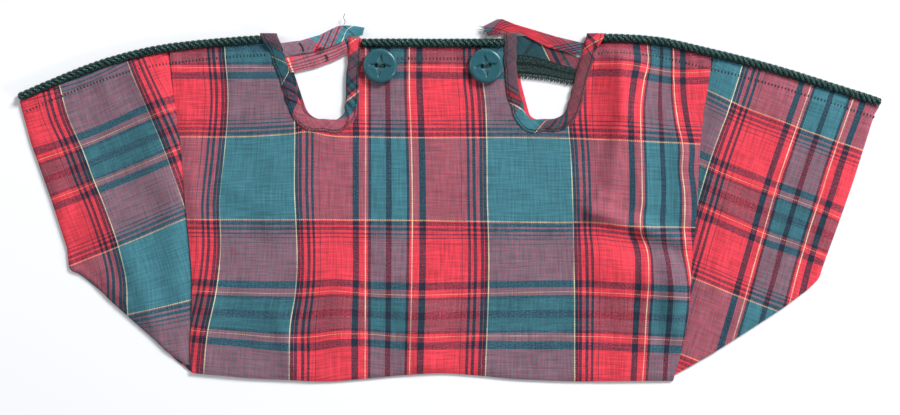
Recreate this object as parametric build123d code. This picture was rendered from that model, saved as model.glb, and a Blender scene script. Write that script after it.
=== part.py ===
"""Tartan cover for a bagpipe bag, lying flat, built piece by piece as it is sewn.

Frame: X runs along the cover, Y from its hem up to its corded top seam, Z up from the
surface it lies on. The origin is on that surface, under the middle of the cover.
"""
from build123d import *
import math
import os

# ---- driving dimensions, in millimetres ----

# cover outline
left_reach = 299.2          # from the origin to the tip of the left wing
right_reach = 299.5
hem_y = -125.0              # lowest part of the hem
cover_depth = 237.6         # from there to the corded seam beside the openings
hem_rise = 5.6              # the hem's middle is pulled up by this much
left_tip_drop = 41.1        # the seam falls by this much to the tips of the wings
right_tip_drop = 44.6
middle_cord_drop = 3.2      # and by this much on the button flap
left_fold_top = 193.0       # fold lines between the centre and the wings
left_fold_bottom = 179.5
right_fold_top = 182.0
right_fold_bottom = 155.5
wing_side_drop = 118.0      # straight outer side of each wing, tip to corner
left_side_lean = 35.5       # how far that side runs inward on its way down
right_side_lean = 40.5

# cloth and tape
cloth = 0.8                 # tartan cloth
layer_space = 1.6           # between the two layers
seam_allowance = 3.0        # turned edge inside the outer seams
tape_width = 9.0            # bias binding of the openings, on each face
tape_wall = 0.4
panel_fit = 0.05            # around a panel inside its binding

# stock openings, measured at the edge of the front binding
flap_middle = -11.5         # the flap between the openings is centred here
flap_width = 116.6
left_opening_width = 50.0   # at the cut ends of the binding
left_opening_floor = 26.6   # at the bottom, before its corners are rounded
left_inner_lean = 3.6       # the inner side runs outward by this much
right_opening_width = 48.6
right_opening_floor = 25.5
right_inner_lean = 7.2
right_straight = 32.0       # the right opening's inner side is upright this far down
opening_depth = 59.6
arm_rise = 3.4              # the binding's cut ends stand above the cord's centre
left_flap_arm_drop = 2.1    # the cut end by the left button is lower
outer_corner_radius = 13.0
inner_corner_radius = 7.0
back_shift = 2.5            # the back layer lies this much to the right

# corded edge
cord_diameter = 6.5
cord_start_gap = 2.0        # from an opening's side to the first point of its cord
left_cord_reach = 177.4     # from there to the wing's tip, as the routes are drawn
right_cord_reach = 202.1
lip_width = 7.0             # flat lip of the cord, caught in the seam
lip_clearance = 0.4         # between the flap's lip and the back layer
stitch_inset = 7.6          # row of topstitching below the cord's lower side
stitch_width = 0.7
stitch_height = 0.3

# button flap, wings and straps
flap_fold_rise = 6.6        # the flap folds this far above the openings' bottoms
fold_gap = 0.4              # between cloth on the two sides of a fold line
flap_seat_gap = 0.4         # between the flap and the layer it rests on
wing_cord_gap = 4.4         # the wing's cord stops this far outside its fold
strap_thickness = 1.2
strap_gap = 0.7             # between a strap and the arms that it passes
strap_root_length = 8.0
strap_joint_width = 9.2     # sewn end of a strap
strap_joint_drop = 6.4      # from the binding's cut end to the strap's upper side
left_strap_overhang = 11.0  # the free tips reach past the openings' inner sides
right_strap_overhang = 23.4
band_thickness = 0.8
overlock_width = 3.2

# buttons
button_diameter = 24.0
button_thickness = 4.0
button_dish_diameter = 18.5
button_dish_depth = 0.9
button_edge_radius = 1.4
thread_hole_diameter = 2.0
thread_hole_spacing = 4.9
thread_diameter = 1.1
shank_diameter = 3.2
shank_length = 0.9
shank_gap = 0.3             # between the shank and the button that turns on it
button_side_gap = 0.6       # between a button and the binding beside it
button_cord_gap = 0.7       # between a button and the cord above it
left_button_angle = -5.0
right_button_angle = 8.0

# ---- places worked out from them ----

shoulder_y = hem_y + cover_depth
middle_cord_y = shoulder_y - middle_cord_drop
arm_top_y = shoulder_y + arm_rise
left_flap_arm_top_y = arm_top_y - left_flap_arm_drop
opening_bottom_y = arm_top_y - opening_depth
flap_fold_y = opening_bottom_y + flap_fold_rise
left_inner_top = flap_middle - flap_width / 2
left_inner_bottom = left_inner_top - left_inner_lean
left_outer_top = left_inner_top - left_opening_width
left_outer_bottom = left_inner_bottom - left_opening_floor
right_inner_top = flap_middle + flap_width / 2
right_inner_bottom = right_inner_top + right_inner_lean
right_outer_top = right_inner_top + right_opening_width
right_outer_bottom = right_inner_bottom + right_opening_floor
right_bend_y = arm_top_y - right_straight
strap_joint_high = arm_top_y - strap_joint_drop
strap_joint_low = strap_joint_high - strap_joint_width
band_high = strap_joint_low - strap_gap

back_top = cloth
tape_height = cloth + tape_wall
band_low = tape_height
band_top = band_low + band_thickness
front_low = back_top + layer_space
front_top = front_low + cloth
cord_radius = cord_diameter / 2
back_edge_y = middle_cord_y - cord_radius - flap_seat_gap
button_y = middle_cord_y - cord_radius - button_cord_gap - button_diameter / 2
button_inset = tape_width + button_side_gap + button_diameter / 2
left_button_center = (left_inner_top + button_inset, button_y)
right_button_center = (right_inner_top - button_inset, button_y)
far = 1000.0                # reaches past the whole cover

# ---- plane figures ----


def area(points):
    """Face inside straight sides."""
    return make_face(Polyline(*points, close=True))


def beside(start, end, inset=0.0):
    """Large face to the left of the line from start to end, pulled back by inset."""
    along = (Vector(*end) - Vector(*start)).normalized()
    left = Vector(-along.Y, along.X)
    corner = Vector(*start) + left * inset
    return area([
        corner - along * far, corner + along * far,
        corner + along * far + left * far, corner - along * far + left * far,
    ])


def above(y):
    return beside((0, y), (1, y))


def below(y):
    return beside((0, y), (-1, y))


def slab(figure, low, high):
    """Solid standing on a plane figure between two heights."""
    return extrude(Pos(0, 0, low) * figure, high - low)


def only_solid(shape):
    """The one solid of a shape, or its largest if a cut left a crumb."""
    return max(shape.solids(), key=lambda piece: piece.volume)


left_fold = ((-left_fold_top, shoulder_y), (-left_fold_bottom, hem_y))
right_fold = ((right_fold_bottom, hem_y), (right_fold_top, shoulder_y))

# ---- the corded top seam ----

left_cord_start = left_outer_top - cord_start_gap
left_cord_share = (left_reach + left_cord_start) / left_cord_reach
left_cord_points = [
    (-left_reach, shoulder_y - left_tip_drop),
    (left_cord_start - 134.9 * left_cord_share, shoulder_y - 22.1),
    (left_cord_start - 92.9 * left_cord_share, shoulder_y - 9.4),
    (left_cord_start - 50.4 * left_cord_share, shoulder_y - 3.2),
    (left_cord_start, shoulder_y),
]
right_cord_start = right_outer_top + cord_start_gap
right_cord_share = (right_reach - right_cord_start) / right_cord_reach
right_cord_points = [
    (right_cord_start, shoulder_y + 0.4),
    (right_cord_start + 39.0 * right_cord_share, shoulder_y + 0.6),
    (right_cord_start + 78.0 * right_cord_share, shoulder_y - 8.4),
    (right_cord_start + 119.0 * right_cord_share, shoulder_y - 18.4),
    (right_cord_start + 166.1 * right_cord_share, shoulder_y - 33.0),
    (right_reach, shoulder_y - right_tip_drop),
]


def corner_radii(points):
    """Largest tangent arc for each corner of a route."""
    radii = []
    for before, corner, after in zip(points, points[1:], points[2:]):
        run_in = Vector(*corner) - Vector(*before)
        run_out = Vector(*after) - Vector(*corner)
        half_turn = math.radians(run_in.get_angle(run_out)) / 2
        shorter = min(run_in.length, run_out.length)
        radii.append(0.45 * shorter / math.tan(half_turn))
    return radii


def route(points):
    """Straight runs joined by tangent arcs."""
    radii = corner_radii(points)
    print("cord radii", [round(radius) for radius in radii])
    return FilletPolyline(*points, radius=radii)


left_route = route(left_cord_points)
right_route = route(right_cord_points)
middle_route = Line((left_inner_top, middle_cord_y), (right_inner_top, middle_cord_y))

# ---- the cover's outline ----


def cover_outline():
    """Everything between the cord's centre line, the wings' sides and the hem."""
    left_corner = (-left_reach + left_side_lean, (left_route @ 0).Y - wing_side_drop)
    right_corner = (right_reach - right_side_lean, (right_route @ 1).Y - wing_side_drop)
    hem_left = (-left_fold_bottom, hem_y + 5.0)
    hem_right = (right_fold_bottom, hem_y)
    rise_left = (-34.0, hem_y + 3.6)
    rise_right = (23.0, hem_y + 3.6)
    edges = left_route.edges()
    edges += [Line(left_route @ 1, middle_route @ 0), middle_route]
    edges += [Line(middle_route @ 1, right_route @ 0)]
    edges += right_route.edges()
    edges += [Line(right_route @ 1, right_corner), Line(right_corner, hem_right)]
    edges += [
        ThreePointArc(hem_right, (78.0, hem_y - 0.4), rise_right),
        ThreePointArc(rise_right, (-6.0, hem_y + hem_rise), rise_left),
        ThreePointArc(rise_left, (-92.0, hem_y - 0.4), hem_left),
    ]
    edges += [Line(hem_left, left_corner), Line(left_corner, left_route @ 0)]
    return make_face(edges)


outline = cover_outline()
seam_cut = [trace(path, cord_diameter) for path in (left_route, middle_route, right_route)]
lip_cut = [
    trace(path, cord_diameter + 2 * lip_width)
    for path in (left_route, middle_route, right_route)
]


def without(figure, cuts):
    for cut in cuts:
        figure = figure - cut
    return figure


cloth_outline = without(outline, seam_cut)
turned_edge = without(outline - offset(outline, -seam_allowance), lip_cut)

# ---- the two stock openings ----


def opening(outer_top, outer_bottom, inner_top, inner_bottom, bend=None):
    """U-shaped notch, open at the top, with a rounded bottom."""
    rise = arm_top_y - opening_bottom_y
    over = 40.0
    outer_lean = (outer_top - outer_bottom) / rise
    inner_lean = 0 if bend else (inner_top - inner_bottom) / rise
    top = arm_top_y + over
    points = [(outer_top + outer_lean * over, top), (outer_bottom, opening_bottom_y)]
    points += [(inner_bottom, opening_bottom_y)]
    points += [(inner_top, bend)] if bend else []
    points += [(inner_top + inner_lean * over, top)]
    notch = area(points)
    low = notch.vertices().filter_by_position(
        Axis.Y, opening_bottom_y - 0.1, opening_bottom_y + 0.1
    )
    outer_corner = min(low, key=lambda point: abs(point.X - outer_bottom))
    inner_corner = min(low, key=lambda point: abs(point.X - inner_bottom))
    notch = fillet([outer_corner], outer_corner_radius)
    low = notch.vertices().filter_by_position(
        Axis.Y, inner_corner.Y - 0.1, inner_corner.Y + 0.1
    )
    inner_corner = min(low, key=lambda point: abs(point.X - inner_bottom))
    return fillet([inner_corner], inner_corner_radius)


left_opening = opening(
    left_outer_top, left_outer_bottom, left_inner_top, left_inner_bottom
)
right_opening = opening(
    right_outer_top, right_outer_bottom, right_inner_top, right_inner_bottom, right_bend_y
)


def widened(notch, amount):
    return offset(notch, amount)


def back_copy(notch):
    return Pos(back_shift, 0) * notch


left_zone = widened(left_opening, tape_width)
right_zone = widened(right_opening, tape_width)
front_edge = [widened(left_opening, tape_wall), widened(right_opening, tape_wall)]
back_edge = [back_copy(notch) for notch in front_edge]
front_tape = [left_zone, right_zone]
back_tape = [back_copy(notch) for notch in front_tape]

# the flap is the front cloth between the openings, above its fold line
left_split = (left_outer_bottom + left_inner_bottom) / 2
right_split = (right_outer_bottom + right_inner_bottom) / 2


def between_openings(low):
    return area([(left_split, low), (right_split, low), (right_split, far), (left_split, far)])


flap_side = between_openings(flap_fold_y)

# ---- cloth panels ----


def pressed(panel, zones, low):
    """Cut the hollow where the binding's lower leg presses into a panel."""
    for zone in zones:
        panel -= slab(widened(zone, panel_fit), low, low + tape_wall)
    return panel


center_figure = cloth_outline & beside(*left_fold) & beside(*right_fold)
left_wing_figure = cloth_outline & beside(left_fold[1], left_fold[0], fold_gap)
right_wing_figure = cloth_outline & beside(right_fold[1], right_fold[0], fold_gap)
flap_figure = center_figure & flap_side


def front_center_panel():
    """Front cloth from hem to top seam, with its turned edge, without the flap."""
    figure = without(center_figure, front_edge) - between_openings(flap_fold_y - fold_gap)
    panel = pressed(slab(figure, front_low, front_top), front_tape, front_low)
    side_edges = center_figure - beside(*left_fold, seam_allowance)
    side_edges += center_figure - beside(*right_fold, seam_allowance)
    hem = (turned_edge & center_figure) + without(side_edges, lip_cut)
    return only_solid(panel + slab(hem, back_top, front_low))


def back_center_panel():
    clear = trace(middle_route, cord_diameter + 2 * flap_seat_gap)
    figure = without(center_figure, back_edge) - clear
    return only_solid(pressed(slab(figure, 0, back_top), back_tape, 0))


def front_wing(figure):
    """Wing cloth with the turned edge that closes the seam round its outside."""
    edge = slab(turned_edge & figure, back_top, front_low)
    return only_solid(slab(figure, front_low, front_top) + edge)


def back_wing(figure):
    return only_solid(slab(figure, 0, back_top))


def button_flap():
    figure = without(flap_figure, front_edge)
    return only_solid(pressed(slab(figure, front_low, front_top), front_tape, front_low))


# ---- bindings ----


def binding(notch, zone, cloth_figure, low, clip):
    """Folded tape round a notch: it closes on both faces of the cloth."""
    top = above(arm_top_y)
    tape = slab((zone - notch - top) & clip, low, low + tape_height)
    inside = (zone - widened(notch, tape_wall - panel_fit)) & cloth_figure & clip
    return only_solid(tape - slab(inside, low + tape_wall, low + cloth))


def fixed_binding(notch, zone, outer_side):
    """The front binding without the arm that lifts with the flap."""
    keep = below(flap_fold_y - fold_gap) + outer_side
    return binding(notch, zone, offset(center_figure, panel_fit), front_low, keep)


def flap_binding(notch, zone, outer_side, top_y):
    keep = (above(flap_fold_y) - outer_side) & below(top_y)
    return binding(notch, zone, offset(center_figure, panel_fit), front_low, keep)


def back_binding(notch, zone, outer_side):
    keep = below(back_edge_y) - (outer_side & above(band_high))
    return binding(back_copy(notch), back_copy(zone), offset(center_figure, panel_fit), 0, keep)


left_outer_side = beside((left_split, 0), (left_split, 1))
right_outer_side = beside((right_split, 1), (right_split, 0))

# ---- cord, lip and topstitching ----


def corded(path):
    """Round cord along a route, resting on the surface."""
    middle = Pos(0, 0, cord_radius) * path
    section = Plane(middle @ 0, z_dir=middle % 0) * Circle(cord_radius)
    solid = sweep(section, path=middle)
    print("cord volume over section x length",
          round(solid.volume / (math.pi * cord_radius ** 2 * path.length), 4))
    return solid


def whole_height(figure):
    return slab(figure, -1, far)


def lip(path, keep, low=back_top):
    """Flat lip between the two layers, against the cord's lower side."""
    strip = trace(path, cord_diameter + 2 * lip_width) - trace(path, cord_diameter)
    strip = without(strip & outline & keep, front_tape + back_tape)
    return only_solid(slab(strip, low, front_low))


def topstitch(path, keep):
    """Row of stitches, drawn as one bead on the front cloth."""
    reach = cord_radius + stitch_inset
    row = trace(path, 2 * reach + stitch_width) - trace(path, 2 * reach - stitch_width)
    row = without(row & outline & keep, front_tape)
    return only_solid(slab(row, front_top, front_top + stitch_height))


# ---- straps and bands ----

strap_low = band_top + flap_seat_gap
strap_top = strap_low + strap_thickness


def opening_side(top_x, bottom_x, y):
    """X of an opening's slanted outer side at height y."""
    return top_x + (bottom_x - top_x) * (arm_top_y - y) / opening_depth


left_joint_high = (
    opening_side(left_outer_top, left_outer_bottom, strap_joint_high), strap_joint_high
)
left_joint_low = (
    opening_side(left_outer_top, left_outer_bottom, strap_joint_low), strap_joint_low
)
right_joint_high = (
    opening_side(right_outer_top, right_outer_bottom, strap_joint_high), strap_joint_high
)
right_joint_low = (
    opening_side(right_outer_top, right_outer_bottom, strap_joint_low), strap_joint_low
)


def left_strap():
    """Closing strap of the left opening, with its free tip above the left button."""
    rest = left_flap_arm_top_y + strap_gap
    tip_x = left_inner_top + left_strap_overhang
    figure = area([
        left_joint_high, (left_outer_top + 16.3, arm_top_y - 5.0),
        (left_outer_top + 29.8, arm_top_y - 1.0), (left_inner_top - 9.2, arm_top_y + 4.6),
        (left_inner_top - 4.7, arm_top_y + 5.4), (left_inner_top + 1.3, arm_top_y + 5.3),
        (left_inner_top + 5.5, arm_top_y + 3.9), (tip_x, arm_top_y + 4.2),
        (tip_x - 1.6, rest), (left_inner_top - 1.4, rest),
        (left_inner_top - 3.0, arm_top_y - 4.6), (left_inner_top - 13.2, arm_top_y - 9.2),
        (left_outer_top + 22.8, arm_top_y - 13.0), left_joint_low,
    ]) & beside(left_joint_high, left_joint_low, fold_gap)
    return only_solid(slab(figure, strap_low, strap_top))


def right_strap():
    """Closing strap of the right opening, with its free tip above the right button."""
    rest = arm_top_y + strap_gap
    tip_x = right_inner_top - right_strap_overhang
    figure = area([
        right_joint_high, (right_inner_top + 26.5, arm_top_y - 2.0),
        (right_inner_top + 12.6, arm_top_y + 2.2), (right_inner_top - 1.3, arm_top_y + 6.2),
        (right_inner_top - 10.3, arm_top_y + 10.0), (right_inner_top - 13.8, arm_top_y + 9.8),
        (tip_x, arm_top_y + 4.9), (tip_x + 3.0, arm_top_y - 1.6),
        (right_inner_top - 11.6, arm_top_y - 0.8), (right_inner_top - 10.2, rest),
        (right_inner_top + 2.6, rest), (right_inner_top + 9.1, arm_top_y - 3.0),
        (right_inner_top + 16.2, arm_top_y - 6.6), (right_inner_top + 22.2, arm_top_y - 9.4),
        (right_inner_top + 36.2, arm_top_y - 13.4), right_joint_low,
    ]) & beside(right_joint_low, right_joint_high, fold_gap)
    return only_solid(slab(figure, strap_low, strap_top))


def strap_root(joint_high, joint_low, outward):
    """Sewn end of a strap, between the two layers behind an outer arm."""
    push = outward * strap_root_length
    top = shoulder_y - cord_radius - panel_fit
    figure = area([
        joint_low, (joint_low[0] + push, joint_low[1]), (joint_high[0] + push, top),
        (joint_high[0], top),
    ])
    return only_solid(slab(figure, back_top, front_low))


left_band_reach = left_inner_top + tape_width - strap_gap
left_band_start = left_joint_low[0] - tape_width / 2
right_band_reach = right_inner_top - tape_width + strap_gap
right_band_start = right_joint_low[0] + tape_width / 2


def left_back_band():
    """Edge of the back layer that crosses behind the left opening."""
    figure = area([
        (left_band_start, band_high), (left_joint_low[0] + 2.0, band_high),
        (left_inner_top - 13.2, arm_top_y - 7.0), (left_inner_top - 2.2, arm_top_y - 3.0),
        (left_band_reach, arm_top_y - 3.0), (left_band_reach, arm_top_y - 11.5),
        (left_inner_top - 0.7, arm_top_y - 13.5), (left_inner_top - 9.8, arm_top_y - 18.4),
        (left_inner_top - 23.7, arm_top_y - 23.6), (left_outer_top + 12.4, arm_top_y - 26.7),
        (left_band_start, arm_top_y - 27.4),
    ])
    return only_solid(slab(figure, band_low, band_top))


right_band_seam = [
    (right_band_reach, arm_top_y - 29.7), (right_inner_top + 9.2, arm_top_y - 31.5),
    (right_inner_top + 21.7, arm_top_y - 32.8), (right_inner_top + 30.2, arm_top_y - 34.5),
    (right_band_start, arm_top_y - 37.5),
]


def right_back_band():
    """Edge of the back layer that crosses behind the right opening."""
    seam = [(x, y + overlock_width) for x, y in right_band_seam]
    figure = area(seam + [
        (right_band_start, band_high), (right_joint_low[0] - 2.0, band_high),
        (right_inner_top + 22.2, arm_top_y - 6.8), (right_inner_top + 9.2, arm_top_y - 1.6),
        (right_band_reach, arm_top_y - 1.0),
    ])
    return only_solid(slab(figure, band_low, band_top))


def right_band_overlock():
    """Overlocked raw edge of the right band."""
    seam = [(x, y + overlock_width) for x, y in reversed(right_band_seam)]
    return only_solid(slab(area(right_band_seam + seam), band_low, band_top))


# ---- buttons ----

button_low = front_top + shank_length + shank_gap
button_top = button_low + button_thickness


def hole_centers(center, angle):
    reach = thread_hole_spacing / 2
    turn = math.radians(angle)
    return [
        (center[0] + side * reach * math.cos(turn), center[1] + side * reach * math.sin(turn))
        for side in (-1, 1)
    ]


def button(center, angle):
    """Two-hole button with a dished face."""
    disc = Pos(*center, button_low) * Cylinder(
        button_diameter / 2, button_thickness, align=(Align.CENTER, Align.CENTER, Align.MIN)
    )
    disc = fillet(disc.edges().filter_by(GeomType.CIRCLE), button_edge_radius)
    dish_low = button_top - button_dish_depth
    dish = Pos(*center, dish_low) * Cylinder(
        button_dish_diameter / 2, far, align=(Align.CENTER, Align.CENTER, Align.MIN)
    )
    disc -= dish
    for x, y in hole_centers(center, angle):
        disc -= Pos(x, y, button_low) * Cylinder(thread_hole_diameter / 2, far)
    return only_solid(disc)


def button_thread(center, angle):
    """Thread through both holes, across the face and under the button."""
    reach = thread_hole_spacing / 2
    low = button_low
    bar_z = button_top - button_dish_depth + thread_diameter / 2
    ends = hole_centers(center, angle)
    bar = Pos(*center, bar_z) * Rot(0, 0, angle) * Box(
        2 * reach + thread_diameter, thread_diameter, thread_diameter
    )
    for x, y in ends:
        bar += Pos(x, y, low) * Cylinder(
            thread_diameter / 2, bar_z - low, align=(Align.CENTER, Align.CENTER, Align.MIN)
        )
    return only_solid(bar)


def button_shank(center):
    """Thread wound into a short post between the flap and the button."""
    return only_solid(Pos(*center, front_top) * Cylinder(
        shank_diameter / 2, shank_length, align=(Align.CENTER, Align.CENTER, Align.MIN)
    ))


# ---- nodes ----

center_side = beside(*left_fold) & beside(*right_fold)


def build_nodes():
    left_cord = corded(left_route) - whole_height(left_zone)
    right_cord = corded(right_route) - whole_height(right_zone)
    middle_cord = corded(middle_route) - whole_height(left_zone) - whole_height(right_zone)
    left_far = beside(left_fold[1], left_fold[0], wing_cord_gap)
    right_far = beside(right_fold[1], right_fold[0], wing_cord_gap)
    wing_gap = 2 * fold_gap
    left_near = beside(left_fold[1], left_fold[0], wing_gap)
    right_near = beside(right_fold[1], right_fold[0], wing_gap)
    return {
        "front_center_panel": front_center_panel(),
        "back_center_panel": back_center_panel(),
        "button_flap": button_flap(),
        "left_front_wing": front_wing(left_wing_figure),
        "right_front_wing": front_wing(right_wing_figure),
        "left_back_wing": back_wing(left_wing_figure),
        "right_back_wing": back_wing(right_wing_figure),
        "left_inner_cord": only_solid(left_cord & whole_height(beside(*left_fold))),
        "right_inner_cord": only_solid(right_cord & whole_height(beside(*right_fold))),
        "left_wing_cord": only_solid(left_cord & whole_height(left_far)),
        "right_wing_cord": only_solid(right_cord & whole_height(right_far)),
        "middle_cord": only_solid(middle_cord),
        "left_inner_lip": lip(left_route, center_side),
        "right_inner_lip": lip(right_route, center_side),
        "left_wing_lip": lip(left_route, left_near),
        "right_wing_lip": lip(right_route, right_near),
        "middle_lip": lip(middle_route, flap_side, back_top + lip_clearance),
        "left_topstitch": topstitch(left_route, center_side),
        "right_topstitch": topstitch(right_route, center_side),
        "left_wing_topstitch": topstitch(left_route, left_near),
        "right_wing_topstitch": topstitch(right_route, right_near),
        "middle_topstitch": topstitch(middle_route, flap_side),
        "left_front_binding": fixed_binding(left_opening, left_zone, left_outer_side),
        "right_front_binding": fixed_binding(right_opening, right_zone, right_outer_side),
        "left_flap_binding": flap_binding(
            left_opening, left_zone, left_outer_side, left_flap_arm_top_y
        ),
        "right_flap_binding": flap_binding(
            right_opening, right_zone, right_outer_side, arm_top_y
        ),
        "left_back_binding": back_binding(left_opening, left_zone, left_outer_side),
        "right_back_binding": back_binding(right_opening, right_zone, right_outer_side),
        "left_back_band": left_back_band(),
        "right_back_band": right_back_band(),
        "right_band_overlock": right_band_overlock(),
        "left_strap": left_strap(),
        "right_strap": right_strap(),
        "left_strap_root": strap_root(left_joint_high, left_joint_low, -1),
        "right_strap_root": strap_root(right_joint_high, right_joint_low, 1),
        "left_button": button(left_button_center, left_button_angle),
        "right_button": button(right_button_center, right_button_angle),
        "left_button_thread": button_thread(left_button_center, left_button_angle),
        "right_button_thread": button_thread(right_button_center, right_button_angle),
        "left_button_shank": button_shank(left_button_center),
        "right_button_shank": button_shank(right_button_center),
    }


os.makedirs("parts", exist_ok=True)
for node_name, node_shape in build_nodes().items():
    export_step(node_shape, f"parts/{node_name}.step")
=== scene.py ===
"""Tartan cover for a bagpipe bag, lying flat: cloth, bindings, corded edge and buttons.

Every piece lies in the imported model's frame, X along the cover, Y up to its corded
seam, Z up. Shapes are worked out in millimetres and stored in metres.
"""
import math

import bpy
import numpy as np
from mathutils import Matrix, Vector


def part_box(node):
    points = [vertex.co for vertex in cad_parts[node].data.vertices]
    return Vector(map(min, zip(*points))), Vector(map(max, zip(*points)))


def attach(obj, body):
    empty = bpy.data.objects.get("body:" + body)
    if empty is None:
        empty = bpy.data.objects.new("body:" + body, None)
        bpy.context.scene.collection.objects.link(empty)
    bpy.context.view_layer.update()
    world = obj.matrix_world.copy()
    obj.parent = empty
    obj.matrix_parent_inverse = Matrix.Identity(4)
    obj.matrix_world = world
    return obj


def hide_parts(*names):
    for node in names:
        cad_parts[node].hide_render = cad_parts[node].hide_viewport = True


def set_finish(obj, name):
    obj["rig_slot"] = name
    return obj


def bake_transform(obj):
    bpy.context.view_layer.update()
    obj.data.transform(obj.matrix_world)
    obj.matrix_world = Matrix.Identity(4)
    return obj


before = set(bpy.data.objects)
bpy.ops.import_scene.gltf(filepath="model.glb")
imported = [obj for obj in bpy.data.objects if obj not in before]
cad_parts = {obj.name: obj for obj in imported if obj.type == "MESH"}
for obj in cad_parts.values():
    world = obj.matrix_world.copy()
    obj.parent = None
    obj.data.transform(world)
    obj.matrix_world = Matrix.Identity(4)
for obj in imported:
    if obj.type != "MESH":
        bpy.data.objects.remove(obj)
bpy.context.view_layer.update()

bl_info = {
    "name": "Bagpipe bag cover",
    "version": (1, 0, 0),
    "blender": (4, 5, 0),
    "location": "View3D > Sidebar > Cover",
    "description": "Builds a sewn tartan cover with corded edge, bindings and buttons",
    "category": "Object",
}

MM = 0.001


def node_size(node, axis):
    """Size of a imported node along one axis, in metres."""
    low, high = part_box(node)
    return high[axis] - low[axis]


CORD_DIAMETER = node_size("middle_cord", 2)
BUTTON_DIAMETER = node_size("left_button", 0)


# ---- sizes and colours a user may change ----

def size_property(name, description, default):
    return bpy.props.FloatProperty(
        name=name, description=description, default=default, min=0.0, unit="LENGTH",
        precision=5,
    )


def colour_property(name, description, default):
    return bpy.props.FloatVectorProperty(
        name=name, description=description, default=default, subtype="COLOR", size=3,
        min=0.0, max=1.0,
    )


class CoverSizes(bpy.types.PropertyGroup):
    """Sizes of the cloth, trims and sewing."""
    cloth: size_property("Cloth", "Thickness of the tartan cloth", 0.0008)
    tape_width: size_property("Tape width", "Width of the bias binding on each face", 0.009)
    tape_wall: size_property("Tape wall", "Thickness of the binding tape", 0.0004)
    cord: size_property("Cord", "Diameter of the twisted cord", CORD_DIAMETER)
    cord_lay: size_property("Cord lay", "Length of one full twist of the cord", 0.0121)
    stitch: size_property("Stitch", "Length of one topstitch", 0.0018)
    stitch_pitch: size_property("Stitch pitch", "Distance from stitch to stitch", 0.0024)
    button: size_property("Button", "Diameter of the buttons", BUTTON_DIAMETER)
    sett: size_property("Half sett", "Half of the tartan's repeat", 0.0973)
    thread: size_property("Thread pitch", "Distance between neighbouring threads", 0.00052)


class CoverColours(bpy.types.PropertyGroup):
    """Colours of the yarns and trims."""
    red: colour_property("Red", "Red yarn", (0.86, 0.058, 0.09))
    teal: colour_property("Teal", "Teal yarn", (0.055, 0.205, 0.255))
    navy: colour_property("Navy", "Navy yarn", (0.014, 0.023, 0.046))
    yellow: colour_property("Yellow", "Raised yellow yarn", (0.95, 0.85, 0.55))
    gold: colour_property("Gold", "Yellow yarn of the cross lines", (0.95, 0.74, 0.33))
    cord: colour_property("Cord", "Dark green cord", (0.005, 0.021, 0.018))
    button: colour_property("Button", "Teal button", (0.02, 0.105, 0.13))
    stitching: colour_property("Stitching", "Dark sewing thread", (0.02, 0.03, 0.04))
    floor: colour_property("Table", "Pale table", (0.9, 0.91, 0.93))


# ---- shader expressions ----

class Socket:
    """A material value. Arithmetic on it adds Math nodes."""

    def __init__(self, tree, output):
        self.tree = tree
        self.output = output

    def math(self, operation, *others):
        values = dict(enumerate((self, *others)))
        return node(self.tree, "ShaderNodeMath", {"operation": operation}, values)[0]

    def swapped(self, operation, other):
        return node(
            self.tree, "ShaderNodeMath", {"operation": operation}, {0: other, 1: self}
        )[0]

    def __add__(self, other):
        return self.math("ADD", other)

    def __radd__(self, other):
        return self.math("ADD", other)

    def __sub__(self, other):
        return self.math("SUBTRACT", other)

    def __rsub__(self, other):
        return self.swapped("SUBTRACT", other)

    def __mul__(self, other):
        return self.math("MULTIPLY", other)

    def __rmul__(self, other):
        return self.math("MULTIPLY", other)

    def __truediv__(self, other):
        return self.math("DIVIDE", other)

    def __rtruediv__(self, other):
        return self.swapped("DIVIDE", other)


def node(tree, kind, settings=None, sockets=None):
    """One shader node: its settings first, then its sockets' values or links."""
    made = tree.nodes.new(kind)
    for name, value in (settings or {}).items():
        if name == "stops":
            set_stops(made.color_ramp, value)
        elif name == "interpolation":
            made.color_ramp.interpolation = value
        else:
            setattr(made, name, value)
    for key, value in (sockets or {}).items():
        if isinstance(value, Socket):
            tree.links.new(value.output, made.inputs[key])
        else:
            made.inputs[key].default_value = value
    return [Socket(tree, output) for output in made.outputs]


def set_stops(ramp, stops):
    """Places a colour ramp's stops, given as (position, grey or colour)."""
    while len(ramp.elements) > 1:
        ramp.elements.remove(ramp.elements[-1])
    for number, (position, colour) in enumerate(stops):
        element = ramp.elements[0] if number == 0 else ramp.elements.new(position)
        element.position = position
        colour = (colour,) * 3 if np.isscalar(colour) else tuple(colour)
        element.color = (*colour[:3], 1.0)


def mix(factor, first, second):
    """Colour mix of two colours or links."""
    tree = next(value.tree for value in (factor, first, second) if isinstance(value, Socket))
    pads = {6: first, 7: second}
    pads = {key: value if isinstance(value, Socket) else (*value, 1.0)
            for key, value in pads.items()}
    return node(tree, "ShaderNodeMix", {"data_type": "RGBA"}, {0: factor, **pads})[2]


def scaled(colour, factor):
    """A colour times a number or a grey link, by Vector Math."""
    return node(
        colour.tree, "ShaderNodeVectorMath", {"operation": "SCALE"}, {0: colour, 3: factor}
    )[0]


def noise(vector, scale, detail=2.0, roughness=0.5):
    """Grey noise with a mean of one half."""
    return node(
        vector.tree, "ShaderNodeTexNoise", None,
        {"Vector": vector, "Scale": scale, "Detail": detail, "Roughness": roughness},
    )[0]


def combine(x, y, z=0.0):
    tree = next(value.tree for value in (x, y, z) if isinstance(value, Socket))
    return node(tree, "ShaderNodeCombineXYZ", None, {0: x, 1: y, 2: z})[0]


def surface_place(tree):
    """The two coordinates of the piece's own surface map, in metres."""
    place = node(tree, "ShaderNodeUVMap", {"uv_map": "cloth"})[0]
    u, v, _ = node(tree, "ShaderNodeSeparateXYZ", None, {0: place})
    return u, v


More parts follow.
